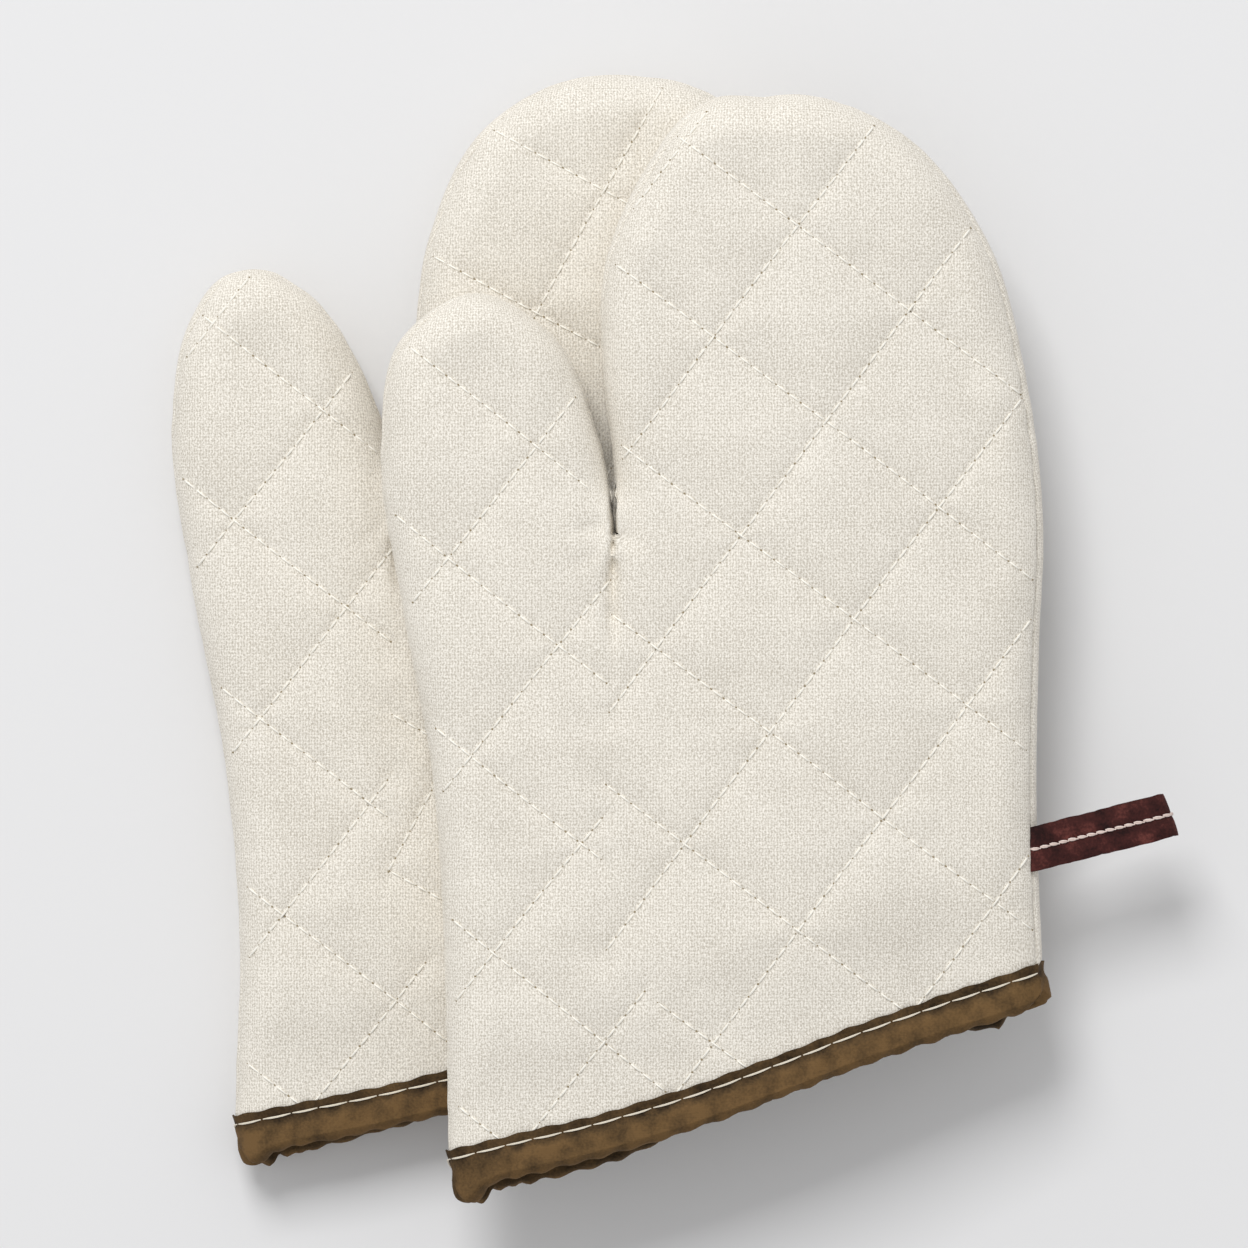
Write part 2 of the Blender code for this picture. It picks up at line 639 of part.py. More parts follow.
def hang_loop(mitt, lay, path, materials):
    """A tape doubled into a loop. Its sewn end turns on the side seam."""
    place = LOOP_PLACE_SHARE * MITT_LENGTH
    right = path[path[:, 1].argmax():]
    span = place + HALF * LOOP_WIDTH * np.array((-1.0, 0.0, 1.0))
    low, middle, high = np.interp(-span, -right[:, 1], right[:, 0])
    seam_angle = math.atan2(high - low, LOOP_WIDTH)
    bulge = max(0.0, middle - HALF * (low + high))
    end_radius = HALF * LOOP_OPEN + LOOP_TAPE
    end = LOOP_REACH - end_radius
    rim = round_ended(0.0, LOOP_ROOT_RADIUS, end, end_radius, 8)
    slot = round_ended(LOOP_SEWN_LENGTH, LOOP_SLOT_RADIUS, end, HALF * LOOP_OPEN, 8)
    swing = math.radians(mitt["loop_swing"]) + seam_angle
    tilt = math.radians(mitt["loop_tilt"])
    slant = math.tan(math.radians(mitt["loop_end_slant"]))
    half_width = HALF * LOOP_WIDTH / math.cos(swing)
    corners = []
    for across in (-half_width, half_width):
        for u, v in rim + slot:
            out = u * math.cos(tilt) - v * math.sin(tilt)
            up = u * math.sin(tilt) + v * math.cos(tilt)
            far = max(out, 0.0)
            corners.append((out - across * slant * far / LOOP_REACH, across + far * math.tan(swing), up))
    count = len(rim)
    total = 2 * count
    faces = []
    for i in range(count):
        after = (i + 1) % count
        faces.append((i, after, total + after, total + i))
        faces.append((count + i, total + count + i, total + count + after, count + after))
        faces.append((i, count + i, count + after, after))
        faces.append((total + i, total + after, total + count + after, total + count + i))
    item = solid(mitt["name"] + "_hang_loop", materials["burgundy"], corners, faces)
    away = bulge + CLEARANCE + LOOP_ROOT_RADIUS
    x = lay.origin[0] + HALF * (low + high) + away * math.cos(seam_angle)
    y = lay.origin[1] + place - away * math.sin(seam_angle)
    item.location = (x, y, float(lay.seam_height(middle)))
    item.rotation_euler = (0.0, 0.0, -seam_angle)
    return item


def mitt(kind, lay, path, materials):
    front = panel(kind, lay, path, "front", 1.0, materials)
    palm = panel(kind, lay, path, "palm", -1.0, materials)
    cuff_binding(kind, lay, front, palm, materials)
    return hang_loop(kind, lay, path, materials)


def centre_in_plan():
    """Moves all pieces so that the middle of the box round them lies over the origin."""
    bpy.context.view_layer.update()
    pieces = [item for item in bpy.data.objects if item.type == "MESH"]
    corners = np.array([item.matrix_world @ vertex.co for item in pieces for vertex in item.data.vertices])
    middle = HALF * (corners.min(axis=0) + corners.max(axis=0))
    for item in pieces:
        item.location.x -= middle[0]
        item.location.y -= middle[1]


def build():
    clear_scene()
    materials = {
        "cream": cloth_material("cream_cloth", CREAM, 0.92),
        "padding": cloth_material("cotton_batting", PADDING, 0.95),
        "lining": cloth_material("lining_cloth", LINING_CREAM, 0.9),
        "olive": cloth_material("olive_tape", OLIVE, 0.7),
        "burgundy": cloth_material("burgundy_tape", BURGUNDY, 0.75),
    }
    top_path = side_outline(TOP_MITT)
    bottom_path = side_outline(BOTTOM_MITT)
    bottom_level = half_height() - FLOOR_CUT
    bottom = Lay((0.0, 0.0), bottom_level, 0.0, None, 0.0)
    top_level = bottom_level + 2 * half_height() + CLEARANCE
    droop_from = bottom_path[:, 0].max() - EDGE_RADIUS - PAIR_SHIFT_X
    droop_to = top_path[:, 0].max()
    top = Lay((PAIR_SHIFT_X, PAIR_SHIFT_Y), top_level, droop_from, droop_to, None)
    loops = [mitt(BOTTOM_MITT, bottom, bottom_path, materials), mitt(TOP_MITT, top, top_path, materials)]
    centre_in_plan()
    for loop in loops:
        turn = loop.rotation_euler.z
        hinge = [round(value, 5) for value in loop.location]
        print(loop.name, "turns about", hinge, "along", [round(math.sin(turn), 5), round(-math.cos(turn), 5), 0.0])


build()
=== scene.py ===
# %% [markdown]
# # A pair of quilted oven mitts
# Two padded cotton mitts lie one on the other, seen from straight above. Each is sewn from a front
# panel and a palm panel of quilted cloth, turned right side out, with an olive brown tape folded
# over the mouth and a burgundy hang tape caught in the right side seam.
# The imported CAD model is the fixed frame: it says where each mitt lies and how big it is. Every
# cloth form is then made again here as a finer mesh in the same place.

import json
import math

import bpy
import numpy as np
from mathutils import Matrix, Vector, noise
from mathutils.geometry import delaunay_2d_cdt

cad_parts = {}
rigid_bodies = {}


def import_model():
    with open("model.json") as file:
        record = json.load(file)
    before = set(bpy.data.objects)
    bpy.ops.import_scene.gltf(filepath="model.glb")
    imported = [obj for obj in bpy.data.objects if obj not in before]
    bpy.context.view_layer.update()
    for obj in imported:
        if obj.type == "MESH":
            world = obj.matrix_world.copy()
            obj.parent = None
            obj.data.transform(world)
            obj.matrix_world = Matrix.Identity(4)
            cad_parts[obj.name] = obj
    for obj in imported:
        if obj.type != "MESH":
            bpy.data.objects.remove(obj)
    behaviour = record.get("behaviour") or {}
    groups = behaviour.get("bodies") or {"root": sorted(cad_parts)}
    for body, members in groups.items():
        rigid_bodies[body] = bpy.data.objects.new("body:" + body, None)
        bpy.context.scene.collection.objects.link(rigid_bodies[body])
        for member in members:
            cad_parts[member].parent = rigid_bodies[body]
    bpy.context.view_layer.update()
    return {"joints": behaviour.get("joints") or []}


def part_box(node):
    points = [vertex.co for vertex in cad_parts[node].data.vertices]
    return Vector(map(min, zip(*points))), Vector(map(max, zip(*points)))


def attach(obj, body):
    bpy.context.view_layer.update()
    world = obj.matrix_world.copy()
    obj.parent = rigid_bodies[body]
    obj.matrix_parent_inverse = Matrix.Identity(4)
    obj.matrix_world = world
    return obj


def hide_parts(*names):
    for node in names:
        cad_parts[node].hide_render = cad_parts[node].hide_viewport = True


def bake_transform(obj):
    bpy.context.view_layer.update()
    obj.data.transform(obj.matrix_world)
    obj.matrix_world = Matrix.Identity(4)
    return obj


for item in list(bpy.data.objects):
    bpy.data.objects.remove(item, do_unlink=True)
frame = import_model()
MM = 0.001

# %% [markdown]
# ## The sizes that the cloth was cut and sewn to
# Both mitts are cut to one paper pattern, but each lies pulled into a slightly different shape, so
# each has its own outline here. The outlines are given as shares of the mitt's width and length from
# the crotch of the thumb, so that they stay readable. Each mitt also says where its quilted squares
# start and how far they are turned, and which row of stitches its crotch cuts away. A front panel
# looks up and a palm panel down, which the signs beside their names say.

# %% Named sizes
MITT_LENGTH = 300 * MM
MITT_WIDTH = 180.5 * MM
EDGE_RADIUS = 12 * MM
HALF_CAVITY = 4.9 * MM
FACE_THICKNESS = 0.9 * MM
LINING_THICKNESS = 0.6 * MM
BATTING_THICKNESS = 4.0 * MM
BATTING_AT_CUFF = 1.4 * MM
LAYER_GAP = 0.3 * MM
BAND_HEIGHT = 10.2 * MM
TAPE_THICKNESS = 0.7 * MM
CUFF_SWELL = 36 * MM
CROTCH_RADIUS = 0.08 * MM
CROTCH_FOOT = (0.93 * MM, 7.4 * MM)
DROOP = 8 * MM
QUILT_PITCH = 38.2 * MM
STITCH_PITCH = 4.23 * MM
PANELS = (("front", 1.0), ("palm", -1.0))

TOP_THUMB_SIDE = [(-0.2526, -0.3529), (-0.2692, -0.1991), (-0.3158, -0.0407), (-0.3474, 0.0995),
                  (-0.3158, 0.2009), (-0.2060, 0.2416), (-0.0947, 0.2072), (-0.0205, 0.1131),
                  (-0.0062, 0.0800), (0.0010, 0.0565), (0.0026, 0.0429), (0.0043, 0.0311)]
BOTTOM_THUMB_SIDE = [(-0.2400, -0.3525), (-0.2640, -0.1985), (-0.3131, -0.0404), (-0.3415, 0.1060),
                     (-0.3125, 0.1978), (-0.2692, 0.2338), (-0.2060, 0.2426), (-0.1438, 0.2243),
                     (-0.1040, 0.2015), (-0.0670, 0.1655), (-0.0275, 0.1121), (-0.0040, 0.0600)]
TOP_HAND_SIDE = [(0.0048, 0.0311), (0.0043, 0.0429), (0.0044, 0.0565),
                 (0.0030, 0.0800), (-0.0135, 0.1629), (-0.0090, 0.2697),
                 (0.0541, 0.3580), (0.1075, 0.4006), (0.1579, 0.4188), (0.2256, 0.4195),
                 (0.2752, 0.4215), (0.4406, 0.3846), (0.5630, 0.2927), (0.6264, 0.1586),
                 (0.6505, 0.0181), (0.6448, -0.0625), (0.6405, -0.2353)]
BOTTOM_HAND_SIDE = [(0.0052, 0.0400), (0.0125, 0.0660), (0.0240, 0.1692), (0.0510, 0.2781),
                    (0.1241, 0.3661), (0.2730, 0.4170), (0.3592, 0.4190), (0.4573, 0.4070),
                    (0.5600, 0.3560), (0.6250, 0.2600), (0.6530, 0.1158), (0.6469, -0.0307),
                    (0.6102, -0.2659)]
CUFF_LEFT = -0.2462
CUFF_RIGHT = 0.6485
JOIN = np.array([(0.0, 0.0), (-0.018, -0.351), (0.065, -0.398), (0.085, -0.50)])
MITTS = {
    "top": {"thumb_side": TOP_THUMB_SIDE, "hand_side": TOP_HAND_SIDE, "seed": 3.1,
            "cuff_start": -170.2 * MM, "cuff_rise": 50.9 * MM, "cuff_sag": 3.4 * MM,
            "thumb": ((-0.0798, -0.0776), 38.5), "hand": ((0.1946, 0.0219), 36.9),
            "palm": ((0.1100, -0.0500), 37.0), "left_out": ("thumb", -2)},
    "bottom": {"thumb_side": BOTTOM_THUMB_SIDE, "hand_side": BOTTOM_HAND_SIDE, "seed": 11.7,
               "cuff_start": -168.5 * MM, "cuff_rise": 40.4 * MM, "cuff_sag": 2.0 * MM,
               "thumb": ((-0.0767, -0.0652), 38.1), "hand": ((0.2110, 0.2020), 29.0),
               "palm": ((0.0600, -0.0900), 38.0), "left_out": None},
}
print("One mitt is", MITT_LENGTH / MM, "mm long and", MITT_WIDTH / MM, "mm wide")

# %% [markdown]
# ## The outline of a mitt
# The sewn edge runs from the left end of the cuff up round the thumb, down to the crotch, up round
# the hand and down the right side. A smooth curve through the pattern's points gives it, with a
# tiny round at the crotch. The points come every 1.6 mm, close enough for the puckers of a seam.

# %% Curves in the plane
OUTLINE_STEP = 1.6 * MM
PLAIN_STEP = 3.5 * OUTLINE_STEP
CURVE_STEPS = 24


def smoothstep(value):
    value = np.clip(value, 0.0, 1.0)
    return value * value * (3.0 - 2.0 * value)


def lengths_along(points):
    """Distance of each point of a path from its start."""
    return np.concatenate([[0.0], np.cumsum(np.linalg.norm(np.diff(points, axis=0), axis=1))])


def at_lengths(where, lengths, values):
    """Rows of values at some distances along a path, from the rows at its points."""
    return np.stack([np.interp(where, lengths, column) for column in values.T], axis=1)


def heading(points):
    """Unit direction of a path at each of its points."""
    run = np.gradient(points, axis=0)
    return run / np.maximum(np.linalg.norm(run, axis=1), 1e-12)[:, None]


def even_steps(points, step):
    """The same open path with points at even steps."""
    points = np.array(points)
    lengths = lengths_along(points)
    count = max(2, round(lengths[-1] / step))
    return at_lengths(np.linspace(0.0, lengths[-1], count + 1), lengths, points)


def smooth_curve(points, step):
    """Points at even steps along a smooth curve through the given points."""
    points = np.array(points)
    chord = np.linalg.norm(np.diff(points, axis=0), axis=1)
    slope = np.gradient(points, lengths_along(points), axis=0)
    fine = []
    for i in range(len(points) - 1):
        for t in np.linspace(0.0, 1.0, CURVE_STEPS, endpoint=False):
            t2 = t * t
            t3 = t2 * t
            leave = (2 * t3 - 3 * t2 + 1) * points[i] + (t3 - 2 * t2 + t) * chord[i] * slope[i]
            fine.append(leave + (3 * t2 - 2 * t3) * points[i + 1] + (t3 - t2) * chord[i] * slope[i + 1])
    fine.append(points[-1])
    return even_steps(fine, step)


# %% The line of the mouth
SAG_SHARES = np.array([(0.0, 0.0), (0.06, 0.13), (0.12, 0.33), (0.19, 0.64), (0.25, 0.84),
                       (0.33, 0.96), (0.39, 1.0), (0.46, 0.90), (0.53, 0.70), (0.60, 0.50),
                       (0.67, 0.22), (0.74, 0.10), (0.84, 0.0), (1.0, 0.0)])
CUT_ROUND = 10.6 * MM
CUT_ROUND_REACH = 2.4 * MM
CUT_UNDER_TAPE = 2.4 * MM
CUT_FADE = 8 * MM
SEAM_REACH = 2 * MM
RIGHT_SIDE = 0.3 * MITT_WIDTH


def cuff_line(mitt, x):
    """The height in the plan of the mouth's edge, which rises to the right and sags on its way."""
    share = (x - CUFF_LEFT * MITT_WIDTH) / ((CUFF_RIGHT - CUFF_LEFT) * MITT_WIDTH)
    sag = mitt["cuff_sag"] * np.interp(share, SAG_SHARES[:, 0], SAG_SHARES[:, 1])
    return mitt["cuff_start"] + mitt["cuff_rise"] * share - sag


def cuff_slope(mitt):
    return mitt["cuff_rise"] / ((CUFF_RIGHT - CUFF_LEFT) * MITT_WIDTH)


def cut_edge(mitt, x):
    """The cloth's cut edge, a little rounded off at the right seam."""
    from_right = CUFF_RIGHT * MITT_WIDTH - x
    return cuff_line(mitt, x) + CUT_ROUND * np.exp(-(from_right / CUT_ROUND_REACH) ** 2)


def under_tape(mitt, points):
    """Draws the cut edge down under the tape, except at the right seam itself."""
    x, y = points.T
    drawn = smoothstep((CUFF_RIGHT * MITT_WIDTH - x) / SEAM_REACH) * (x > RIGHT_SIDE)
    drawn = drawn * smoothstep((CUT_ROUND + CUT_FADE - (y - cuff_line(mitt, x))) / CUT_FADE)
    return points - np.outer(drawn, (0.0, CUT_UNDER_TAPE))


# %% The sewn edge of each mitt
CUFF_TUCK = 2.2 * MM
RIGHT_END = 0.4 * MM
CROTCH_STEPS = 17


def side_path(mitt, step):
    """The sewn edge, from the mouth's left end to its right end. The tape tucks the left end in."""
    pattern = np.array([MITT_WIDTH, MITT_LENGTH])
    left_x, right_x = CUFF_LEFT * MITT_WIDTH, CUFF_RIGHT * MITT_WIDTH
    left_foot = np.array([left_x + CUFF_TUCK, cuff_line(mitt, left_x + CUFF_TUCK)])
    left_shoulder = np.array([left_x, cuff_line(mitt, left_x) + BAND_HEIGHT])
    right_foot = np.array([right_x, cut_edge(mitt, right_x)])
    right_shoulder = right_foot + np.array([0.0, RIGHT_END])
    turn = np.linspace(math.pi, 2 * math.pi, CROTCH_STEPS)
    crotch = CROTCH_RADIUS * np.stack([np.cos(turn), np.sin(turn)], axis=1) + np.array(CROTCH_FOOT)
    thumb = np.array(mitt["thumb_side"]) * pattern
    hand = np.array(mitt["hand_side"]) * pattern
    return np.vstack([even_steps([left_foot, left_shoulder], step)[:-1],
                      smooth_curve([left_shoulder, *thumb, crotch[0]], step), crotch[1:-1],
                      smooth_curve([crotch[-1], *hand, right_shoulder], step),
                      even_steps([right_shoulder, right_foot], step)[1:]])


def inward(mitt, path):
    """At each point of the edge, the direction into the cloth. By the mouth it follows the mouth."""
    run = np.diff(path, axis=0)
    run /= np.linalg.norm(run, axis=1)[:, None]
    normal = np.stack([run[:, 1], -run[:, 0]], axis=1)
    before = np.vstack([normal[:1], normal])
    after = np.vstack([normal, normal[-1:]])
    square = (before + after) / (1.0 + (before * after).sum(axis=1))[:, None]
    side = np.where(path[:, 0] < RIGHT_SIDE, 1.0, -1.0)
    along = side[:, None] * np.array([1.0, cuff_slope(mitt)])
    share = smoothstep((path[:, 1] - cuff_line(mitt, path[:, 0])) / (2 * BAND_HEIGHT))[:, None]
    return along * (1.0 - share) + square * share


for name, mitt in MITTS.items():
    mitt["path"] = side_path(mitt, OUTLINE_STEP)
    mitt["plain_path"] = side_path(mitt, PLAIN_STEP)
    print(name, "mitt: edge of", len(mitt["path"]), "points")

# %% [markdown]
# ## Where the mitts lie
# The CAD boxes give the place. The face panels end on the sewn edge, which gives the origin in the
# plan, and the linings lie evenly above and below the seam, which gives the seam's height. The
# right side of the upper mitt has nothing under it, so it sinks.

# %% Read the places from the frame
def seam_level(name):
    return 0.5 * (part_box(name + "_front_lining")[1].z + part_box(name + "_palm_lining")[0].z)


CAD_CUFF_LEFT = -0.2436 * MITT_WIDTH
CUFF_CUT = {"top": (-171.87 * MM, 0.3267), "bottom": (-169.47 * MM, 0.2487)}
for name, mitt in MITTS.items():
    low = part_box(name + "_cuff_binding")[0]
    cut, slope = CUFF_CUT[name]
    beside_cut = (LAYER_GAP + TAPE_THICKNESS) * np.array([1.0, slope + 1.0])
    mitt["origin"] = np.array([low.x, low.y]) - (np.array([CAD_CUFF_LEFT, cut]) - beside_cut)
bottom_level = seam_level("bottom")
half_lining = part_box("bottom_front_lining")[1].z - bottom_level
MITTS["bottom"]["level"] = bottom_level
MITTS["top"]["level"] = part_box("top_front_lining")[1].z - half_lining
shift_x = MITTS["top"]["origin"][0] - MITTS["bottom"]["origin"][0]
MITTS["bottom"]["droop"] = None
MITTS["top"]["droop"] = (MITTS["bottom"]["path"][:, 0].max() - EDGE_RADIUS - shift_x,
                         MITTS["top"]["path"][:, 0].max())
for name, mitt in MITTS.items():
    print(name, "crotch at", mitt["origin"].round(5), "seam level", round(mitt["level"], 5))


# %% Height of the seam's plane
def seam_height(mitt, x):
    if mitt["droop"] is None:
        return mitt["level"] + 0.0 * x
    start, end = mitt["droop"]
    return mitt["level"] - DROOP * smoothstep((x - start) / (end - start))


# %% [markdown]
# ## Quilting
# The cloth was bought ready quilted: outer cloth, batting and backing sewn together in squares on
# the bias, before the mitts were cut from it. So the rows of stitches run straight to the seams.
# Each row is kept as a run of points, four to a stitch, and everything near it is worked out from
# the nearest point of the nearest run.

# %% Helpers: distance to the edge, and inside or outside
def distance_to_path(points, path):
    """Distance from each point to an open path."""
    start = path[:-1]
    run = path[1:] - start
    square = np.maximum((run ** 2).sum(axis=1), 1e-14)
    nearest = np.empty(len(points))
    for first in range(0, len(points), 2000):
        away = points[first:first + 2000, None, :] - start[None]
        along = np.clip((away * run[None]).sum(axis=2) / square, 0.0, 1.0)
        gap = away - along[..., None] * run[None]
        nearest[first:first + 2000] = np.sqrt((gap ** 2).sum(axis=2)).min(axis=1)
    return nearest


def inside(points, polygon):
    """Which points lie inside a closed polygon."""
    following = np.roll(polygon, -1, axis=0)
    hits = np.zeros(len(points), int)
    for (xs, ys), (xn, yn) in zip(polygon, following):
        if ys == yn:
            continue
        crosses = (ys > points[:, 1]) != (yn > points[:, 1])
        hits += crosses & (points[:, 0] < xs + (xn - xs) * (points[:, 1] - ys) / (yn - ys))
    return hits % 2 == 1


def smooth_noise(x, y, z=0.0):
    """Smooth noise from -1 to 1 at each pair of numbers."""
    x, y = np.broadcast_arrays(np.asarray(x, float), np.asarray(y, float))
    return np.array([noise.noise(Vector((a, b, z))) for a, b in zip(x.ravel(), y.ravel())])


# %% Rows of stitches
RUN_STEP = STITCH_PITCH / 4
LEAST_RUN = 9 * MM
STOP_BEFORE_SEAM = 2.4 * MM
WANDER = 0.7 * MM
WANDER_PERIOD = 55 * MM
ROW_UNDER_TAPE = 2 * MM
MOST_ROWS = 9


def on_hand_side(points):
    """Which points lie on the hand's side of the line where the two quilted cuts meet."""
    join = JOIN * np.array([MITT_WIDTH, MITT_LENGTH])
    limit = np.where(points[:, 1] >= 0.0, 0.0, np.interp(-points[:, 1], -join[:, 1], join[:, 0]))
    return points[:, 0] > limit


def stitch_rows(mitt, grid, allowed):
    """Runs of points along the rows of one grid, where they are allowed."""
    anchor_share, angle = mitt[grid]
    anchor = np.array(anchor_share) * np.array([MITT_WIDTH, MITT_LENGTH])
    turn = math.radians(angle)
    level = np.array([math.cos(turn), -math.sin(turn)])
    steep = np.array([-math.sin(turn), -math.cos(turn)])
    reach = 1.2 * MITT_LENGTH
    along = np.arange(-reach, reach, RUN_STEP)
    runs = []
    for direction, square in ((level, steep), (steep, level)):
        for i in range(-MOST_ROWS, MOST_ROWS + 1):
            if direction is steep and (grid, i) == mitt["left_out"]:
                continue
            wander = WANDER * smooth_noise(along / WANDER_PERIOD, i * 3.7 + mitt["seed"], direction[0] * 9)
            points = anchor + square * (i * QUILT_PITCH + wander)[:, None] + direction * along[:, None]
            inside_panel = np.concatenate([[False], allowed(points), [False]]).astype(int)
            edges = np.flatnonzero(np.diff(inside_panel))
            runs += [points[start:end] for start, end in zip(edges[::2], edges[1::2])
                     if (end - start) * RUN_STEP > LEAST_RUN]
    return runs


def quilting(mitt, panel):
    """All rows of stitches of a panel."""
    def in_panel(points):
        above = points[:, 1] - cuff_line(mitt, points[:, 0])
        clear = distance_to_path(points, mitt["path"]) > STOP_BEFORE_SEAM
        return inside(points, mitt["path"]) & (above > BAND_HEIGHT - ROW_UNDER_TAPE) & clear

    if panel == "palm":
        return stitch_rows(mitt, "palm", in_panel)
    thumb = stitch_rows(mitt, "thumb", lambda points: in_panel(points) & ~on_hand_side(points))
    hand = stitch_rows(mitt, "hand", lambda points: in_panel(points) & on_hand_side(points))
    return thumb + hand


def whole_stitches(run):
    """Distances along a run, stretched a little so that it holds whole stitches."""
    count = max(1, round((len(run) - 1) * RUN_STEP / STITCH_PITCH))
    return np.linspace(0.0, count * STITCH_PITCH, len(run))


class Rows:
    """The rows of stitches of one panel, and the nearest place on them for any point."""

    def __init__(self, runs):
        self.runs = runs
        self.points = np.vstack(runs)
        self.along = np.concatenate([whole_stitches(run) for run in runs])
        self.index = np.concatenate([np.full(len(run), i) for i, run in enumerate(runs)])
        self.direction = np.vstack([heading(run) for run in runs])

    def nearest(self, points):
        """Distance to the nearest row, place along it and its number."""
        pick = np.empty(len(points), int)
        for first in range(0, len(points), 1000):
            away = points[first:first + 1000, None, :] - self.points[None]
            pick[first:first + 1000] = (away ** 2).sum(axis=2).argmin(axis=1)
        away = points - self.points[pick]
        along = (away * self.direction[pick]).sum(axis=1)
        off = np.abs(away[:, 0] * self.direction[pick, 1] - away[:, 1] * self.direction[pick, 0])
        past = np.maximum(np.abs(along) - 0.5 * RUN_STEP, 0.0)
        return np.hypot(off, past), self.along[pick] + along, self.index[pick]


for name, mitt in MITTS.items():
    for panel in ("front", "palm"):
        mitt[panel + "_rows"] = Rows(quilting(mitt, panel))
        print(name, panel, "has", len(mitt[panel + "_rows"].runs), "rows of stitches")

# %% [markdown]
# ## The relief of the quilted cloth
# A sewn row pulls the cloth down and the batting pushes it up between the rows, steepest right
# beside the stitches. The thread is tighter than the cloth, so the cloth ripples across each row. A
# real designer might run a cloth simulation for this. A formula is used instead, because the same
# height is needed again for the threads, and it gives the same result each time.

# %% Smooth form of a mitt
def round_over(depth, inset=0.0):
    """Share of the full height that a turned edge has at a depth, for a layer set in by the inset."""
    share = np.clip((depth - inset) / (EDGE_RADIUS - inset), 0.0, 1.0)
    return np.sqrt(1.0 - (1.0 - share) ** 2)


def cuff_swell(mitt, points):
    """How far the batting has swollen, from none under the tape to full further in."""
    above = points[:, 1] - cuff_line(mitt, points[:, 0]) - BAND_HEIGHT
    return smoothstep(above / CUFF_SWELL)


def batting_height(mitt, points):
    return BATTING_AT_CUFF + (BATTING_THICKNESS - BATTING_AT_CUFF) * cuff_swell(mitt, points)


def crown(mitt, points):
    """Height of the cloth above the seam's plane at a row of stitches, away from the edge."""
    layers = HALF_CAVITY + LINING_THICKNESS + 2 * LAYER_GAP + FACE_THICKNESS
    return layers + batting_height(mitt, points)


# %% [markdown]
# ### Folds
# Where the cloth is pulled together, as at the crotch, sharp folds are pressed in. Each is a line
# in mm from the crotch, with its depth and its half width in mm. The padding below gives way.

# %% Pressed folds
FOLDS_IN_MM = {
    "top_front": [((0.9, 7.6), (0.1, 2.0), 2.2, 0.8), ((0.2, 4.5), (0.3, -5.0), 2.6, 0.8),
                  ((0.5, -1.0), (-0.1, -33.0), 3.2, 1.8), ((-2.0, 9.5), (-16.0, 6.5), 0.9, 2.2),
                  ((-4.0, 1.0), (-17.0, -4.0), 0.6, 2.8), ((3.0, 6.0), (15.0, 1.0), 0.35, 2.2)],
    "bottom_front": [((0.3, -1.0), (0.5, -28.0), 2.4, 2.1), ((-2.0, 4.0), (-17.0, -8.0), 0.5, 2.4),
                     ((66.5, 103.0), (67.6, 124.5), 0.9, 1.8)],
    "top_palm": [], "bottom_palm": [],
}
FOLDS = {key: [(np.array([start, end]) * MM, depth * MM, width * MM) for start, end, depth, width in folds]
         for key, folds in FOLDS_IN_MM.items()}
PADDING_CLEAR = 0.4 * MM
PADDING_REACH = (11 * MM, 5 * MM)


def fold_relief(key, points):
    """How deep the pressed folds lie. Each starts at once and fades along its way."""
    total = np.zeros(len(points))
    for (start, end), depth, width in FOLDS[key]:
        run = end - start
        share = ((points - start) @ run) / (run @ run)
        gap = points - start - np.clip(share, 0.0, 1.0)[:, None] * run
        fade = smoothstep((share + 0.12) / 0.15) * smoothstep((1.0 - share) / 0.9)
        total -= depth * np.exp(-(np.linalg.norm(gap, axis=1) / width) ** 2) * fade
    return total


def pressed_padding(key, points):
    """How far the padding has given way round the pressed folds."""
    deepest = np.zeros(len(points))
    for line, depth, _ in FOLDS[key]:
        near = smoothstep((PADDING_REACH[0] - distance_to_path(points, line)) / PADDING_REACH[1])
        deepest = np.maximum(deepest, (depth + PADDING_CLEAR) * near)
    return deepest


# %% Relief of the cloth
PUFF = 1.6 * MM
PUFF_SHARP = 4.5 * MM
PUFF_WIDE = 17 * MM
HOLE_DEPTH = 0.45 * MM
HOLE_RADIUS = 0.75 * MM
RIPPLE = 0.42 * MM
RIPPLE_PERIOD = 6.5 * MM
RIPPLE_REACH = 6.0 * MM
RIPPLE_START = 1.4 * MM
SLACK = 0.30 * MM
SLACK_SLOW = 21 * MM
SLACK_QUICK = 8 * MM
EDGE_START = 1.0 * MM
EDGE_FADE = 10 * MM
FOLD_START = 1.2 * MM
CLOTH_LIFT = 0.15 * MM


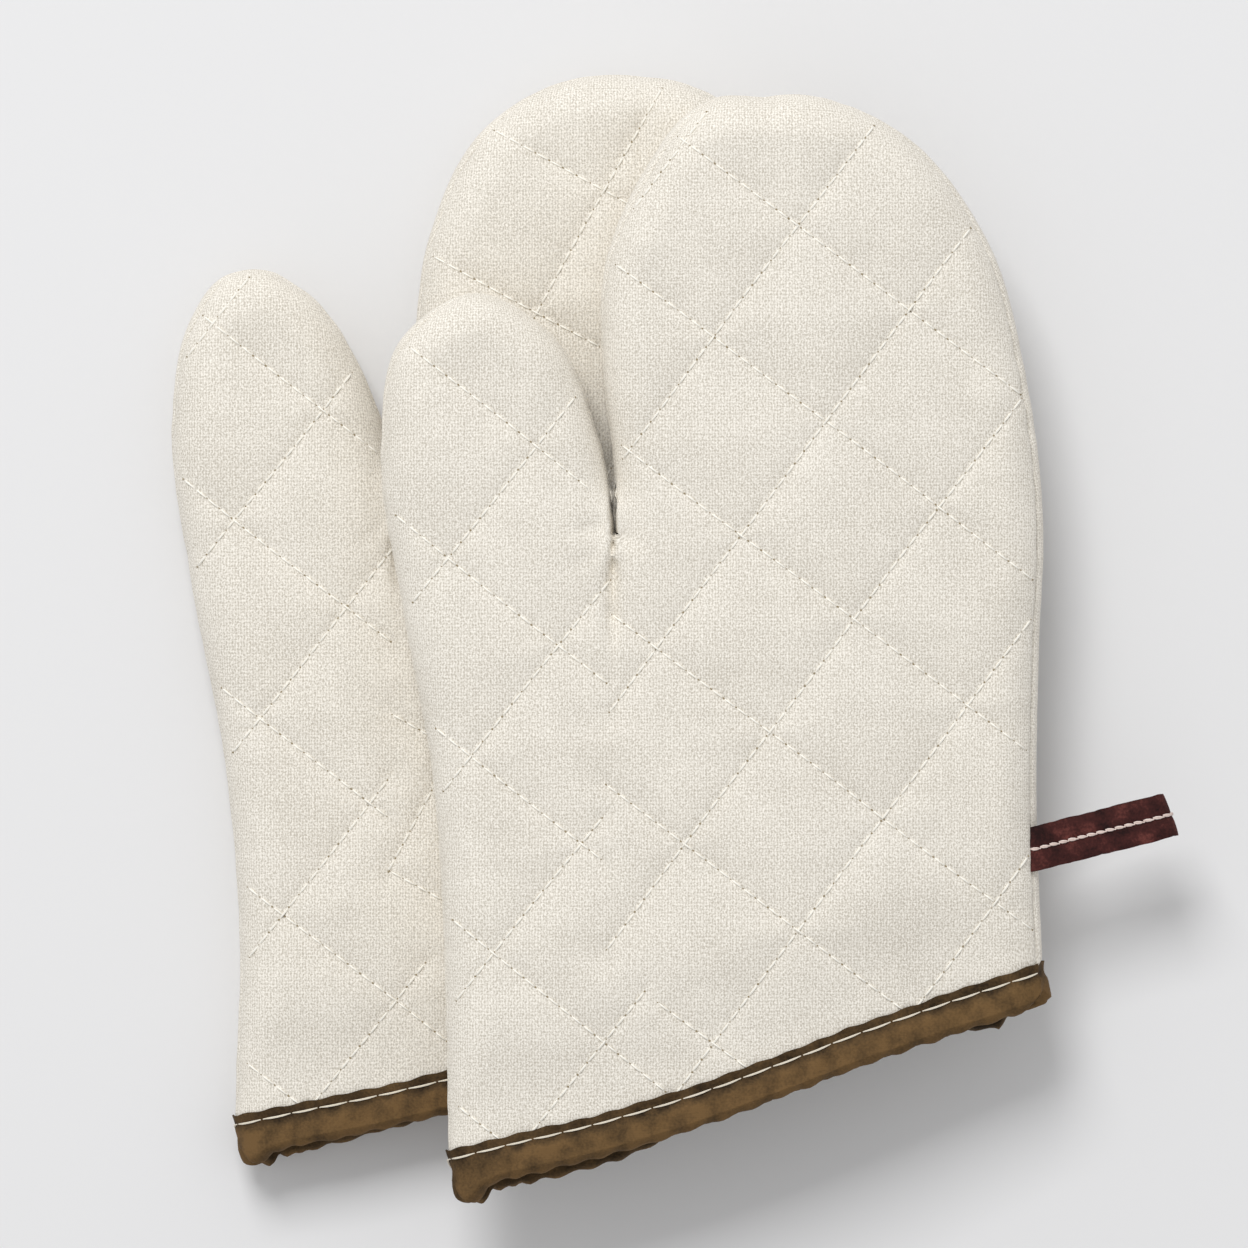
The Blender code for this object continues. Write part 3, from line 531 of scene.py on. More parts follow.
def relief(name, panel, points, depth):
    """Height that quilting, ripples, slack and folds add to the smooth form."""
    mitt = MITTS[name]
    away, along, index = mitt[panel + "_rows"].nearest(points)
    seed = mitt["seed"] + (0.0 if panel == "front" else 50.0)
    steep = 1.0 - np.exp(-away / PUFF_SHARP)
    broad = np.sin(0.5 * math.pi * np.clip(away / PUFF_WIDE, 0.0, 1.0))
    at_hole = 0.5 + 0.5 * np.cos(2 * math.pi * along / STITCH_PITCH)
    hole = HOLE_DEPTH * np.exp(-(away / HOLE_RADIUS) ** 2) * at_hole
    ripple = RIPPLE * smooth_noise(along / RIPPLE_PERIOD, index * 7.31, seed)
    ripple *= np.exp(-away / RIPPLE_REACH) * (1.0 - np.exp(-away / RIPPLE_START))
    x, y = points.T
    slack = SLACK * (smooth_noise(x / SLACK_SLOW, y / SLACK_SLOW, seed)
                     + 0.5 * smooth_noise(x / SLACK_QUICK, y / SLACK_QUICK, seed + 5.0))
    edge = smoothstep((depth - EDGE_START) / EDGE_FADE)
    swell = cuff_swell(mitt, points)
    soft = 0.5 * PUFF * (steep + broad) * swell + ripple + slack * (0.35 + 0.65 * swell)
    folds = fold_relief(name + "_" + panel, points) * smoothstep(depth / FOLD_START)
    return soft * edge - hole * edge ** 0.5 + folds


def cloth_height(name, panel, side, points, depth, rise):
    """Height of a face's cloth over the seam's plane."""
    return rise * crown(MITTS[name], points) + side * (relief(name, panel, points, depth) + CLOTH_LIFT)


# %% [markdown]
# ## A net of triangles for each panel
# Round the edge the cloth turns over in a half circle, so the net there is rings at even angles.
# They start at the side seam, which does not lie at the widest place all round: where the palm was
# pulled over, the seam shows a little inside the silhouette. Inside the rings a net of even
# triangles is made, with rows of points along the stitches so that the grooves come out crisp. The
# batting and the lining have plainer nets, set in a little so that they stay inside the cloth.

# %% The seam, and which points a net may use
SEAM_LEAST = 8.0
SEAM_MORE = 20.0
RIM_CLEAR = 0.7 * MM
CROTCH_TOP = 24 * MM
CROTCH_FADE = 14 * MM
CROTCH_END = -20 * MM


def seam_turn(path, into):
    """Angle above the widest place at which the side seam lies, along the edge, in degrees."""
    towards = np.degrees(np.arctan2(-into[:, 1], -into[:, 0]))
    right = np.exp(-((towards - 5.0) / 45.0) ** 2)
    right = right * smoothstep((path[:, 0] - RIGHT_SIDE) / (0.1 * MITT_WIDTH))
    upper_left = np.exp(-((towards - 145.0) / 28.0) ** 2)
    return SEAM_LEAST + SEAM_MORE * np.clip(right + upper_left, 0.0, 1.0)


def near_crotch(points, reach):
    """How much of each point belongs to the tight slit between thumb and hand."""
    x, y = points.T
    return np.exp(-(x / reach) ** 2) * smoothstep((CROTCH_TOP - y) / CROTCH_FADE) * (y > CROTCH_END)


def within(points, rim, least):
    """The points that lie inside a rim and clear of it."""
    points = points[inside(points, rim)]
    return points[distance_to_path(points, np.vstack([rim, rim[:1]])) > least]


def clear_of(points, chosen, least):
    """The points that keep clear of those already chosen."""
    if not chosen or not len(points):
        return points
    done = np.vstack(chosen)
    gap = np.array([np.abs(done - point).sum(axis=1).min() for point in points])
    return points[gap > least]


# %% Points along stitches and folds
ROW_OFFSETS_MM = ((0.0, 1), (1.15, 2), (-1.15, 2), (2.6, 2), (-2.6, 2))
ROW_SPACING = 0.45 * MM
FOLD_OFFSETS_MM = (0.0, 0.8, -0.8, 1.7, -1.7, 2.8, -2.8)
FOLD_STEP = 1.1 * MM
FOLD_SPACING = 0.75 * MM


def row_points(rows, rim):
    """Points on each row of stitches and beside it. Beside it, every second one is enough."""
    chosen = []
    for number, run in enumerate(rows.runs):
        direction = heading(run)
        square = np.stack([-direction[:, 1], direction[:, 0]], axis=1)
        for offset, every in ROW_OFFSETS_MM:
            line = within((run + square * offset * MM)[::every], rim, RIM_CLEAR)
            away, _, index = rows.nearest(line)
            near = (index == number) | (away > 0.9 * abs(offset) * MM + 0.4 * MM)
            spaced = away > 0.8 * abs(offset) * MM - 1e-9
            line = clear_of(line[near & spaced], chosen, ROW_SPACING)
            if len(line):
                chosen.append(line)
    return chosen


def fold_points(line, rim, chosen):
    """Points on a pressed fold and beside it, clear of the points already chosen."""
    start, end = line
    length = np.linalg.norm(end - start)
    along = np.linspace(start, end, max(3, round(length / FOLD_STEP)))
    square = np.array([start[1] - end[1], end[0] - start[0]]) / length
    points = np.vstack([along + square * offset * MM for offset in FOLD_OFFSETS_MM])
    return clear_of(within(points, rim, RIM_CLEAR), chosen, FOLD_SPACING)


# %% Build the nets
RING_END = 62.0
FINE_RINGS = 11
PLAIN_RINGS = 5
INNER_INSET = 1.4 * MM
CUFF_BOW = 0.3 * MM
SEAM_PINCH = 1.1 * MM
PINCH_REACH = 0.7 * MM
SEAM_PUCKER = 0.35 * MM
PUCKER_PERIOD = 5.2 * MM
PUCKER_REACH = 5 * MM
CALM_REACH = 11 * MM
CROTCH_SHOULDERS = (1.7 * MM, 0.7 * MM)
CROTCH_REACH = 7 * MM
ROW_CLEAR = 3.6 * MM
FOLD_CLEAR = 3.4 * MM


class Net:
    """Triangles over the plan of a panel, with each point's place across the turned edge."""

    def __init__(self, name, side, rings, step, rows=None):
        mitt = MITTS[name]
        path = mitt["path"] if rows is not None else mitt["plain_path"]
        into = inward(mitt, path)
        if rows is None:
            path = path + INNER_INSET * into
        self.points, self.flat, self.rise, self.triangles = [], [], [], []
        ids = self.turned_edge(mitt, path, into, side, rings)
        self.fill(name + ("_front" if side > 0.0 else "_palm"), mitt, ids[-1], step, rows)
        self.points, self.flat, self.triangles = (
            np.array(part) for part in (self.points, self.flat, self.triangles))
        self.depth = distance_to_path(self.points, path)
        self.rise = np.where(np.isnan(self.rise), side * round_over(self.depth), self.rise)
        shoulder = np.where(self.points[:, 0] < CROTCH_FOOT[0], *CROTCH_SHOULDERS)
        lifted = near_crotch(self.points, CROTCH_REACH) * smoothstep(self.depth / shoulder)
        self.rise = self.rise + (side - self.rise) * lifted
        right_ends = [ring[-1] for ring in ids[1:]]
        left_ends = [ring[0] for ring in ids[1:]]
        self.border = ids[0] + right_ends + self.cuff[::-1] + left_ends[::-1]

    def add(self, points, rise, flat=None):
        """Keeps points, how far each has risen and its place on the unrolled cloth."""
        first = len(self.points)
        self.points += [tuple(point) for point in points]
        self.flat += [tuple(point) for point in (points if flat is None else flat)]
        self.rise = np.concatenate([self.rise, rise])
        return list(range(first, len(self.points)))

    def turned_edge(self, mitt, path, into, side, rings):
        """Rings round the turned edge, from the pinched and puckered seam inward."""
        seam = seam_turn(path, into)
        pucker = SEAM_PUCKER * smooth_noise(lengths_along(path) / PUCKER_PERIOD, mitt["seed"], 2.0)
        calm = 1.0 - near_crotch(path, CALM_REACH)
        ring_depth = EDGE_RADIUS * (1.0 - math.cos(math.radians(RING_END)))
        ids = []
        for share in np.linspace(0.0, 1.0, rings) ** 1.5:
            angle = np.radians(seam + share * (side * RING_END - seam))
            arc = EDGE_RADIUS * np.abs(angle - np.radians(seam))
            pinch = (SEAM_PINCH + pucker) * np.exp(-arc / PINCH_REACH)
            pinch = (pinch + pucker * np.exp(-arc / PUCKER_REACH)) * calm
            depth = EDGE_RADIUS * (1.0 - np.cos(angle)) + pinch * np.cos(angle)
            unrolled = ring_depth - EDGE_RADIUS * (math.radians(RING_END) - side * angle)
            ids.append(self.add(under_tape(mitt, path + into * depth[:, None]),
                                np.sin(angle) * (1.0 - pinch / EDGE_RADIUS),
                                path + into * unrolled[:, None]))
        for outer, inner in zip(ids[:-1], ids[1:]):
            for i in range(len(outer) - 1):
                self.triangles += [(outer[i], inner[i], inner[i + 1]), (outer[i], inner[i + 1], outer[i + 1])]
        return ids

    def fill(self, key, mitt, ring, step, rows):
        """The inside of the last ring: points along stitches and folds, and an even net between."""
        start, end = self.points[ring[0]], self.points[ring[-1]]
        xs = np.linspace(start[0], end[0], max(4, round((end[0] - start[0]) / step)) + 1)[1:-1]
        ends = np.interp(xs, [start[0], end[0]], [start[1], end[1]])
        bow = CUFF_BOW * (1.0 - np.linspace(-1.0, 1.0, len(xs)) ** 2)
        level = np.minimum(cut_edge(mitt, xs), ends - bow)
        self.cuff = self.add(np.stack([xs, level], axis=1), np.full(len(xs), np.nan))
        rim_ids = ring + self.cuff[::-1]
        rim = np.array([self.points[i] for i in rim_ids])
        low, high = rim.min(axis=0), rim.max(axis=0)
        levels = np.arange(low[1], high[1], step * math.sqrt(0.75))
        grid = within(np.array([(x + 0.5 * step * (j % 2), y) for j, y in enumerate(levels)
                                for x in np.arange(low[0], high[0], step)]), rim, 0.6 * step)
        chosen = []
        if rows is not None:
            grid = grid[rows.nearest(grid)[0] > ROW_CLEAR]
            chosen = row_points(rows, rim)
            for line, _, _ in FOLDS[key]:
                grid = grid[distance_to_path(grid, line) > FOLD_CLEAR]
                chosen.append(fold_points(line, rim, chosen))
        edges = [(i, (i + 1) % len(rim)) for i in range(len(rim))]
        places = [Vector(point) for point in np.vstack([rim, grid] + chosen)]
        new_points, _, new_faces, origins, _, _ = delaunay_2d_cdt(places, edges, [], 0, 1e-7)
        new_points = np.array([point[:] for point in new_points])
        ids = []
        for index, source in enumerate(origins):
            on_rim = [i for i in source if i < len(rim)]
            ids.append(rim_ids[on_rim[0]] if on_rim else self.add([new_points[index]], [np.nan])[0])
        faces = np.array([face for face in new_faces if len(face) == 3])
        kept = inside(new_points[faces].mean(axis=1), rim)
        self.triangles += [tuple(ids[i] for i in face) for face in faces[kept]]


# %% [markdown]
# ## From a net to a piece of cloth
# A net becomes a closed shell: the outer surface, the same surface again one cloth thickness
# further in along its own normals, and a strip that joins their edges.

# %% Mesh helpers
PIECES = {}
SHARP_ANGLE = 60.0


def make_piece(name, corners, faces, body, slot, replaces=()):
    """A mesh object that rides on a body. The slot is not used; the finish comes later, from the ending of the
    name.
    """
    mesh = bpy.data.meshes.new(name)
    mesh.from_pydata([tuple(corner) for corner in corners], [],
                     [tuple(int(i) for i in face) for face in faces])
    mesh.validate()
    mesh.shade_smooth()
    mesh.set_sharp_from_angle(angle=math.radians(SHARP_ANGLE))
    piece = bpy.data.objects.new(name, mesh)
    bpy.context.scene.collection.objects.link(piece)
    if body:
        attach(piece, body)
    if replaces:
        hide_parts(*replaces)
    PIECES[name] = piece
    return piece


def store_on_corners(piece, name, kind, field, values):
    """Keeps a value for each corner of a shell, the same on both of its sides."""
    attribute = piece.data.attributes.new(name, kind, "POINT")
    attribute.data.foreach_set(field, np.concatenate([values, values]).astype(np.float32).ravel())


def surface_normals(corners, triangles):
    """Normal at each corner, from the triangles round it."""
    a, b, c = (corners[triangles[:, i]] for i in range(3))
    flat = np.cross(b - a, c - a)
    normals = np.zeros_like(corners)
    for i in range(3):
        np.add.at(normals, triangles[:, i], flat)
    return normals / np.maximum(np.linalg.norm(normals, axis=1), 1e-15)[:, None]


def area_of(corners, triangles):
    a, b, c = (corners[triangles[:, i]] for i in range(3))
    return 0.5 * np.linalg.norm(np.cross(b - a, c - a), axis=1).sum()


def shell_faces(triangles, border, count):
    """Faces of a shell: a surface, its back with as many corners, and the strip between them."""
    faces = [tuple(face) for face in triangles] + [tuple(face[::-1] + count) for face in triangles]
    return faces + [(b, a, a + count, b + count) for a, b in zip(border, border[1:] + border[:1])]


def shell(corners, triangles, border, thickness):
    """Closes a surface into a shell, thickened to the back of its triangles."""
    back = corners - surface_normals(corners, triangles) * thickness
    return np.vstack([corners, back]), shell_faces(triangles, border, len(corners))


def facing(corners, triangles, side):
    """Turns the triangles so that the surface looks up for a front panel and down for a palm."""
    a, b, c = (corners[triangles[:, i]] for i in range(3))
    up = np.cross(b - a, c - a)[:, 2].sum()
    return triangles if up * side > 0.0 else triangles[:, ::-1]


def place(mitt, points, height):
    """Corners in the row frame of points of the plan at a height above the seam's plane."""
    x, y = points.T
    return np.stack([x + mitt["origin"][0], y + mitt["origin"][1], seam_height(mitt, x) + height], axis=1)


def layer(name, panel, ending, stands_for, corners, faces, slot, net):
    """One layer of a panel. It keeps its place on the unrolled cloth, for the pattern of its yarns."""
    piece = make_piece(name + "_" + panel + ending, corners, faces, name + "_mitt", slot,
                       [name + "_" + panel + stands_for])
    store_on_corners(piece, "flat", "FLOAT_VECTOR", "vector",
                     np.column_stack([net.flat, np.zeros(len(net.flat))]))
    return piece


# %% [markdown]
# ## The faces: cream cotton cloth
# These are what the eye sees first. The palm of the lower mitt is pressed flat on the table, so its
# lowest points stop at the floor.

# %% Make the four quilted faces
FACE_STEP = 2.2 * MM
for name, mitt in MITTS.items():
    for panel, side in PANELS:
        net = Net(name, side, FINE_RINGS, FACE_STEP, mitt[panel + "_rows"])
        height = cloth_height(name, panel, side, net.points, net.depth, net.rise)
        corners = place(mitt, net.points, height)
        corners[:, 2] = np.maximum(corners[:, 2], 0.0)
        triangles = facing(corners, net.triangles, side)
        both, faces = shell(corners, triangles, net.border, 0.8 * FACE_THICKNESS)
        piece = layer(name, panel, "_quilted_cloth", "_face", both, faces, "cream_cloth", net)
        print(piece.name, len(faces), "faces")

# %% [markdown]
# ## Batting and lining
# The batting is a soft felted layer that only shows where a mitt is cut. The lining is a plain
# cloth that shows inside the mouth. Both follow the same form further in, with a coarser net. The
# batting swells between the rows of stitches and gives way where a fold is pressed in.

# %% The batting
LINING_STEP = 7 * MM
PADDING_OUTSIDE = 2.2 * MM
PADDING_INSIDE = 3.6 * MM
LEAST_PADDING = 0.2 * MM
PUFF_FROM = 4 * MM
PUFF_FADE = 10 * MM


def make_padding(name, panel, side, net):
    mitt = MITTS[name]
    under_cloth = crown(mitt, net.points) - FACE_THICKNESS - LAYER_GAP
    away = mitt[panel + "_rows"].nearest(net.points)[0]
    puff = 0.5 * PUFF * smoothstep((net.depth - PUFF_FROM) / PUFF_FADE) * cuff_swell(mitt, net.points)
    outer = round_over(net.depth, PADDING_OUTSIDE) * under_cloth + puff * (1.0 - np.exp(-away / PUFF_SHARP))
    inner = round_over(net.depth, PADDING_INSIDE) * (under_cloth - batting_height(mitt, net.points))
    outer = np.maximum(outer - pressed_padding(name + "_" + panel, net.points), inner + LEAST_PADDING)
    corners = np.vstack([place(mitt, net.points, side * outer), place(mitt, net.points, side * inner)])
    corners[:, 2] = np.maximum(corners[:, 2], FACE_THICKNESS)
    faces = shell_faces(facing(corners, net.triangles, side), net.border, len(net.points))
    padding = layer(name, panel, "_padding", "_batting", corners, faces, "cotton_batting", net)
    return padding


# %% The lining, and both for each panel
LINING_INSIDE = 4.0 * MM
LINING_LIFT = 0.1 * MM
LINING_SLACK = 0.25 * MM
LINING_SLACK_PERIOD = 16 * MM
LINING_SLACK_FROM = 6 * MM
LINING_SLACK_FADE = 8 * MM


def make_lining(name, panel, side, net, padding):
    mitt = MITTS[name]
    hollow = round_over(net.depth, LINING_INSIDE) * (HALF_CAVITY + LINING_THICKNESS)
    slack = LINING_SLACK * smooth_noise(*(net.points.T / LINING_SLACK_PERIOD), mitt["seed"])
    slack = slack * smoothstep((net.depth - LINING_SLACK_FROM) / LINING_SLACK_FADE)
    corners = place(mitt, net.points, side * (hollow + LINING_LIFT + slack))
    triangles = facing(corners, net.triangles, side)
    both, faces = shell(corners, triangles, net.border, 0.8 * LINING_THICKNESS)
    area = area_of(corners, triangles)
    cloth = layer(name, panel, "_lining_cloth", "_lining", both, faces, "lining_cloth", net)
    size = np.ptp(net.points, axis=0)
    print(padding.name, len(padding.data.polygons), "faces;", cloth.name, round(area * 1e4), "cm2")


for name in MITTS:
    for panel, side in PANELS:
        net = Net(name, side, PLAIN_RINGS, LINING_STEP)
        make_lining(name, panel, side, net, make_padding(name, panel, side, net))

# %% [markdown]
# ## The cuff tape
# One bias tape is folded over the raw edges of all six layers and sewn through. It starts at the
# right side seam, runs over the front, round the left side and back over the palm, and its end
# wraps round the right seam. The mouth is a flattened tube, so the tape follows a long oval. Its
# cross section is a hairpin: the outer leg, the roll round the cut edge, and the inner leg. The
# sewing gathers it into small waves.

# %% The oval of the mouth
TAPE_END_ANGLE = 32.0
WING_ANGLE = 48.0


def mouth_path(inset, height, wing):
    """The oval as x and z over the seam, from the right seam over the front and back.
    The tape's end on the palm stands off like a small wing and turns up under the front's end."""
    left = CUFF_LEFT * MITT_WIDTH + inset
    right = CUFF_RIGHT * MITT_WIDTH - inset
    radius = EDGE_RADIUS - inset

    def corner(x, way, angles):
        return [(x + way * radius * (1.0 - math.cos(a)), height * math.sin(a)) for a in angles]

    quarter = np.linspace(math.radians(TAPE_END_ANGLE), 0.5 * math.pi, 12)
    straight = np.linspace(right - radius, left + radius, 60)[1:-1]
    upper = [(x, height) for x in straight] + corner(left, 1.0, np.linspace(0.5 * math.pi, 0.0, 14))
    lower = [(x, -z) for x, z in upper[::-1]][1:]
    lower += corner(right, -1.0, -quarter[quarter > math.radians(WING_ANGLE)][::-1])
    return np.vstack([corner(right, -1.0, quarter), upper, lower, 0.5 * (np.array(lower[-1]) + wing[0]), wing])


# %% The course of the tape round the mouth
TAPE_STEP = 1.3 * MM
INNER_LEG = 4.6 * MM
WING_OUTSIDE = np.array([(-0.6, -4.2), (-1.1, -2.6), (-1.5, -0.6), (-1.9, 1.4), (-2.6, 3.2)]) * MM
WING_INSIDE = np.array([(-1.1, -2.2), (-2.4, -1.6), (-2.9, -0.4), (-3.4, 0.8), (-4.2, 1.9)]) * MM
TAPE_SHAPES = {
    "top": {"palm_drop_mm": [(0.0, 2.8), (0.29, 2.7), (0.385, 0.0), (0.862, 0.0), (0.90, 1.5),
                             (0.934, 3.3), (0.940, 0.1), (0.97, 0.0), (1.0, -0.4)],
            "lobe": (3.5 * MM, 3.9 * MM)},
    "bottom": {"palm_drop_mm": [(0.0, 2.4), (0.10, 2.3), (0.19, 1.5), (0.28, 0.8), (0.34, 0.0), (1.0, 0.0)],
               "lobe": (3.2 * MM, 2.2 * MM)},
}
LOBE_WIDE = 3.4 * MM
CORNER_RISE = 2.8 * MM
RUFFLE_PERIOD = 5.6 * MM
RUFFLE_REACH = 17 * MM


def tape_course(name):
    """For each step along the tape: its place on both legs, and how its edge hangs there."""
    shape = TAPE_SHAPES[name]
    cut = HALF_CAVITY + LINING_THICKNESS + 2 * LAYER_GAP + BATTING_AT_CUFF + FACE_THICKNESS
    left, right = CUFF_LEFT * MITT_WIDTH, CUFF_RIGHT * MITT_WIDTH
    seam = np.array([right, 0.0])
    outer = mouth_path(0.0, cut, seam + WING_OUTSIDE)
    inner = mouth_path(INNER_LEG, HALF_CAVITY, seam + WING_INSIDE)
    lengths = lengths_along(outer)
    even = np.linspace(0.0, lengths[-1], round(lengths[-1] / TAPE_STEP) + 1)
    outer, inner = (at_lengths(even, lengths, leg) for leg in (outer, inner))
    run = heading(outer)
    from_left = outer[:, 0] - left
    from_right = right - outer[:, 0]
    on_palm = smoothstep(-outer[:, 1] / (0.45 * cut))
    drops = np.array(shape["palm_drop_mm"])
    fade = np.exp(-(from_left / RUFFLE_REACH) ** 2)
    lobe_at, lobe_depth = shape["lobe"]
    lobe = lobe_depth * np.exp(-((from_left - lobe_at) / LOBE_WIDE) ** 2)
    lobe -= CORNER_RISE * np.exp(-(from_left / (1.7 * MM)) ** 2)
    lobe -= CORNER_RISE * np.exp(-((from_right - 1.0 * MM) / (1.6 * MM)) ** 2) * (1.0 - on_palm)
    return {
        "even": even, "outer": outer, "inner": inner, "square": np.stack([run[:, 1], -run[:, 0]], axis=1),
        "from_left": from_left, "from_right": from_right, "on_palm": on_palm, "lobe": lobe,
        "near_left": np.exp(-(from_left / (11 * MM)) ** 2),
        "drop": on_palm * np.interp(from_left / (right - left), drops[:, 0], drops[:, 1]) * MM,
        "ruffle": on_palm * fade * np.sin(2 * math.pi * from_left / RUFFLE_PERIOD + 1.0),
        "flap": on_palm * smoothstep(1.0 - from_right / (6 * MM)),
    }


# %% [markdown]
# ### Rows of the hairpin
# The tape is built from rows that run its whole length. A row on a leg has a level above the
# mouth's edge, and a row on the fold has a turn from 0 to half a circle. The stitch holds the tape
# down, and the free part below it is plump and wavy. Where it bulges a painted highlight makes it
# paler, and painted shade darkens it below the stitch and where it is hidden.

# %% One row of the tape
TAPE_STITCH_DOWN = 2.4 * MM
TAPE_STITCH_PITCH = 8.1 * MM
STITCH_LEVEL = BAND_HEIGHT - LAYER_GAP - TAPE_STITCH_DOWN
FOLD_BULGE = 1.7 * MM
LEAST_FOLD = 0.6 * MM
PLUMP = 1.1 * MM
FLAP = 1.5 * MM
TUCK_FROM = 22 * MM
TUCK_FADE = 10 * MM
HIGHLIGHT_END = math.radians(155)


def tape_row(mitt, course, turn, level):
    """Corners of one row, and the painted light and shade of the tape at each."""
    even, ruffle, on_palm = course["even"], course["ruffle"], course["on_palm"]
    from_left, near_left, from_right = course["from_left"], course["near_left"], course["from_right"]
    mix = 0.5 - 0.5 * math.cos(turn)
    waves = smooth_noise(even / (6.0 * MM), level / (9 * MM) + 2.0 * mix, mitt["seed"] + 20.0)
    broad = smooth_noise(even / (17 * MM), level / (20 * MM), mitt["seed"] + 30.0)
    slant = smooth_noise(even / (4.2 * MM) + level / (5 * MM), 0.5, mitt["seed"] + 40.0)
    beat = 2 * math.pi * even / TAPE_STITCH_PITCH
    pull = 0.5 + 0.5 * np.cos(beat)
    pull_low = 0.5 + 0.5 * np.cos(beat - 0.9 + 1.4 * broad)
    on_leg = 1.0 if turn == 0.0 else 0.0
    below = 1.0 - min(level / STITCH_LEVEL, 1.0)
    at_stitch = on_leg * math.exp(-((level - STITCH_LEVEL) / (0.9 * MM)) ** 2)
    upper_edge = on_leg * smoothstep((level - STITCH_LEVEL) / (1.5 * MM))

    lift = (0.26 * waves + 0.25 * broad + 0.26 * slant) * MM * (1.0 + 0.6 * near_left) * (1.0 - 0.8 * at_stitch)
    lift = lift + PLUMP * smoothstep((STITCH_LEVEL - level) / (3 * MM)) * on_leg * (1.0 - 0.7 * near_left)
    lift = lift + LAYER_GAP + TAPE_THICKNESS + 0.5 * MM * ruffle * below
    lift = lift - at_stitch * (0.45 + 0.35 * pull) * MM
    lift = lift - 0.50 * MM * on_leg * pull ** 5 * math.exp(-abs(level - STITCH_LEVEL) / (3.2 * MM))
    lift = (lift + 0.30 * MM * upper_edge * (1.0 - pull)) * (1.0 - 0.5 * upper_edge * near_left)
    lift = np.maximum(lift, LAYER_GAP + TAPE_THICKNESS * 0.9) * (1.0 - 2.0 * mix)
    across = course["outer"] + (course["inner"] - course["outer"]) * mix + course["square"] * lift[:, None]

    gathers = 0.40 * waves + 0.30 * broad + 0.20 * slant + 1.1 * ruffle + 0.7 * (0.4 - pull_low)
    fold_size = np.maximum(FOLD_BULGE + gathers * MM, LEAST_FOLD)
    down = level - LAYER_GAP * (turn > 0.0) - fold_size * math.sin(turn)
    down = down - course["lobe"] * below * (1.0 - 0.45 * on_palm) - course["drop"]
    down = down + (0.28 * broad + 0.45 * (0.5 - pull) + 0.15 * waves) * MM * upper_edge
    tuck = min(1.6 * (1.0 - level / BAND_HEIGHT), 1.0) * smoothstep((TUCK_FROM - from_left) / TUCK_FADE)
    x = across[:, 0] + CUFF_TUCK * tuck + FLAP * course["flap"] * (0.3 + 0.7 * below)
    y = down + cuff_line(mitt, np.clip(x, CUFF_LEFT * MITT_WIDTH, CUFF_RIGHT * MITT_WIDTH))

    # From here on the tape's colour gets painted light and shade: a painted highlight where it bulges and on
    # the palm's flap that faces up, and painted shade below and at the stitch, past the fold on the inner leg,
    # and where the palm's end is hidden under the front's.
    fallen = min(max((STITCH_LEVEL - level) / STITCH_LEVEL, 0.0), 1.0)
    belly = float(smoothstep(fallen / 0.45) * smoothstep((HIGHLIGHT_END - turn) / 1.1)) * (1.0 + 0.25 * fallen)
    shade = on_leg * math.exp(-((STITCH_LEVEL - level - 1.2 * MM) / (1.3 * MM)) ** 2) * (1.0 - pull) ** 1.5
    hidden = on_palm * smoothstep(1.0 - np.abs(from_right / (10 * MM) - 1.5))
    painted_light = belly * (0.85 + 0.3 * waves - 0.3 * pull ** 4) - 0.7 * shade * (0.7 + 0.8 * broad)
    painted_light = painted_light - 0.1 * at_stitch - 1.2 * hidden + 0.6 * course["flap"]
    return place(mitt, np.stack([x, y], axis=1), across[:, 1]), painted_light


# %% Make the cuff tape of each mitt
LEG_ROWS = [(0.0, BAND_HEIGHT - LAYER_GAP - fall * MM) for fall in
            (0.0, 0.5, 1.2, 1.8, 2.4, 3.0, 3.7, 4.6, 5.6, 6.7, 7.8, 8.8, 9.5)]
FOLD_ROWS = [(angle, 0.0) for angle in np.linspace(0.0, math.pi, 11)]
BACK_ROWS = [(math.pi, level * MM) for level in (1.2, 3.5, 5.6, 7.5, 9.4)]
TAPE_ROWS = LEG_ROWS + FOLD_ROWS + BACK_ROWS
STITCHED_ROWS = (4, len(LEG_ROWS) + len(FOLD_ROWS) + 3)


def strip(rows, width):
    """Triangles and border of corners that lie in rows of the same number."""
    triangles = []
    for j in range(rows - 1):
        for i in range(width - 1):
            a, b = j * width + i, (j + 1) * width + i
            triangles += [(a, a + 1, b + 1), (a, b + 1, b)]
    last = (rows - 1) * width
    border = list(range(width)) + [j * width + width - 1 for j in range(1, rows)]
    border += list(range(last + width - 2, last - 1, -1)) + [j * width for j in range(rows - 2, 0, -1)]
    return np.array(triangles), border


def look_outward(corners, triangles, centre):
    """Whether the triangles look away from a centre."""
    a, b, c = (corners[triangles[:, i]] for i in range(3))
    return (np.cross(b - a, c - a) * ((a + b + c) / 3 - centre)).sum() > 0.0


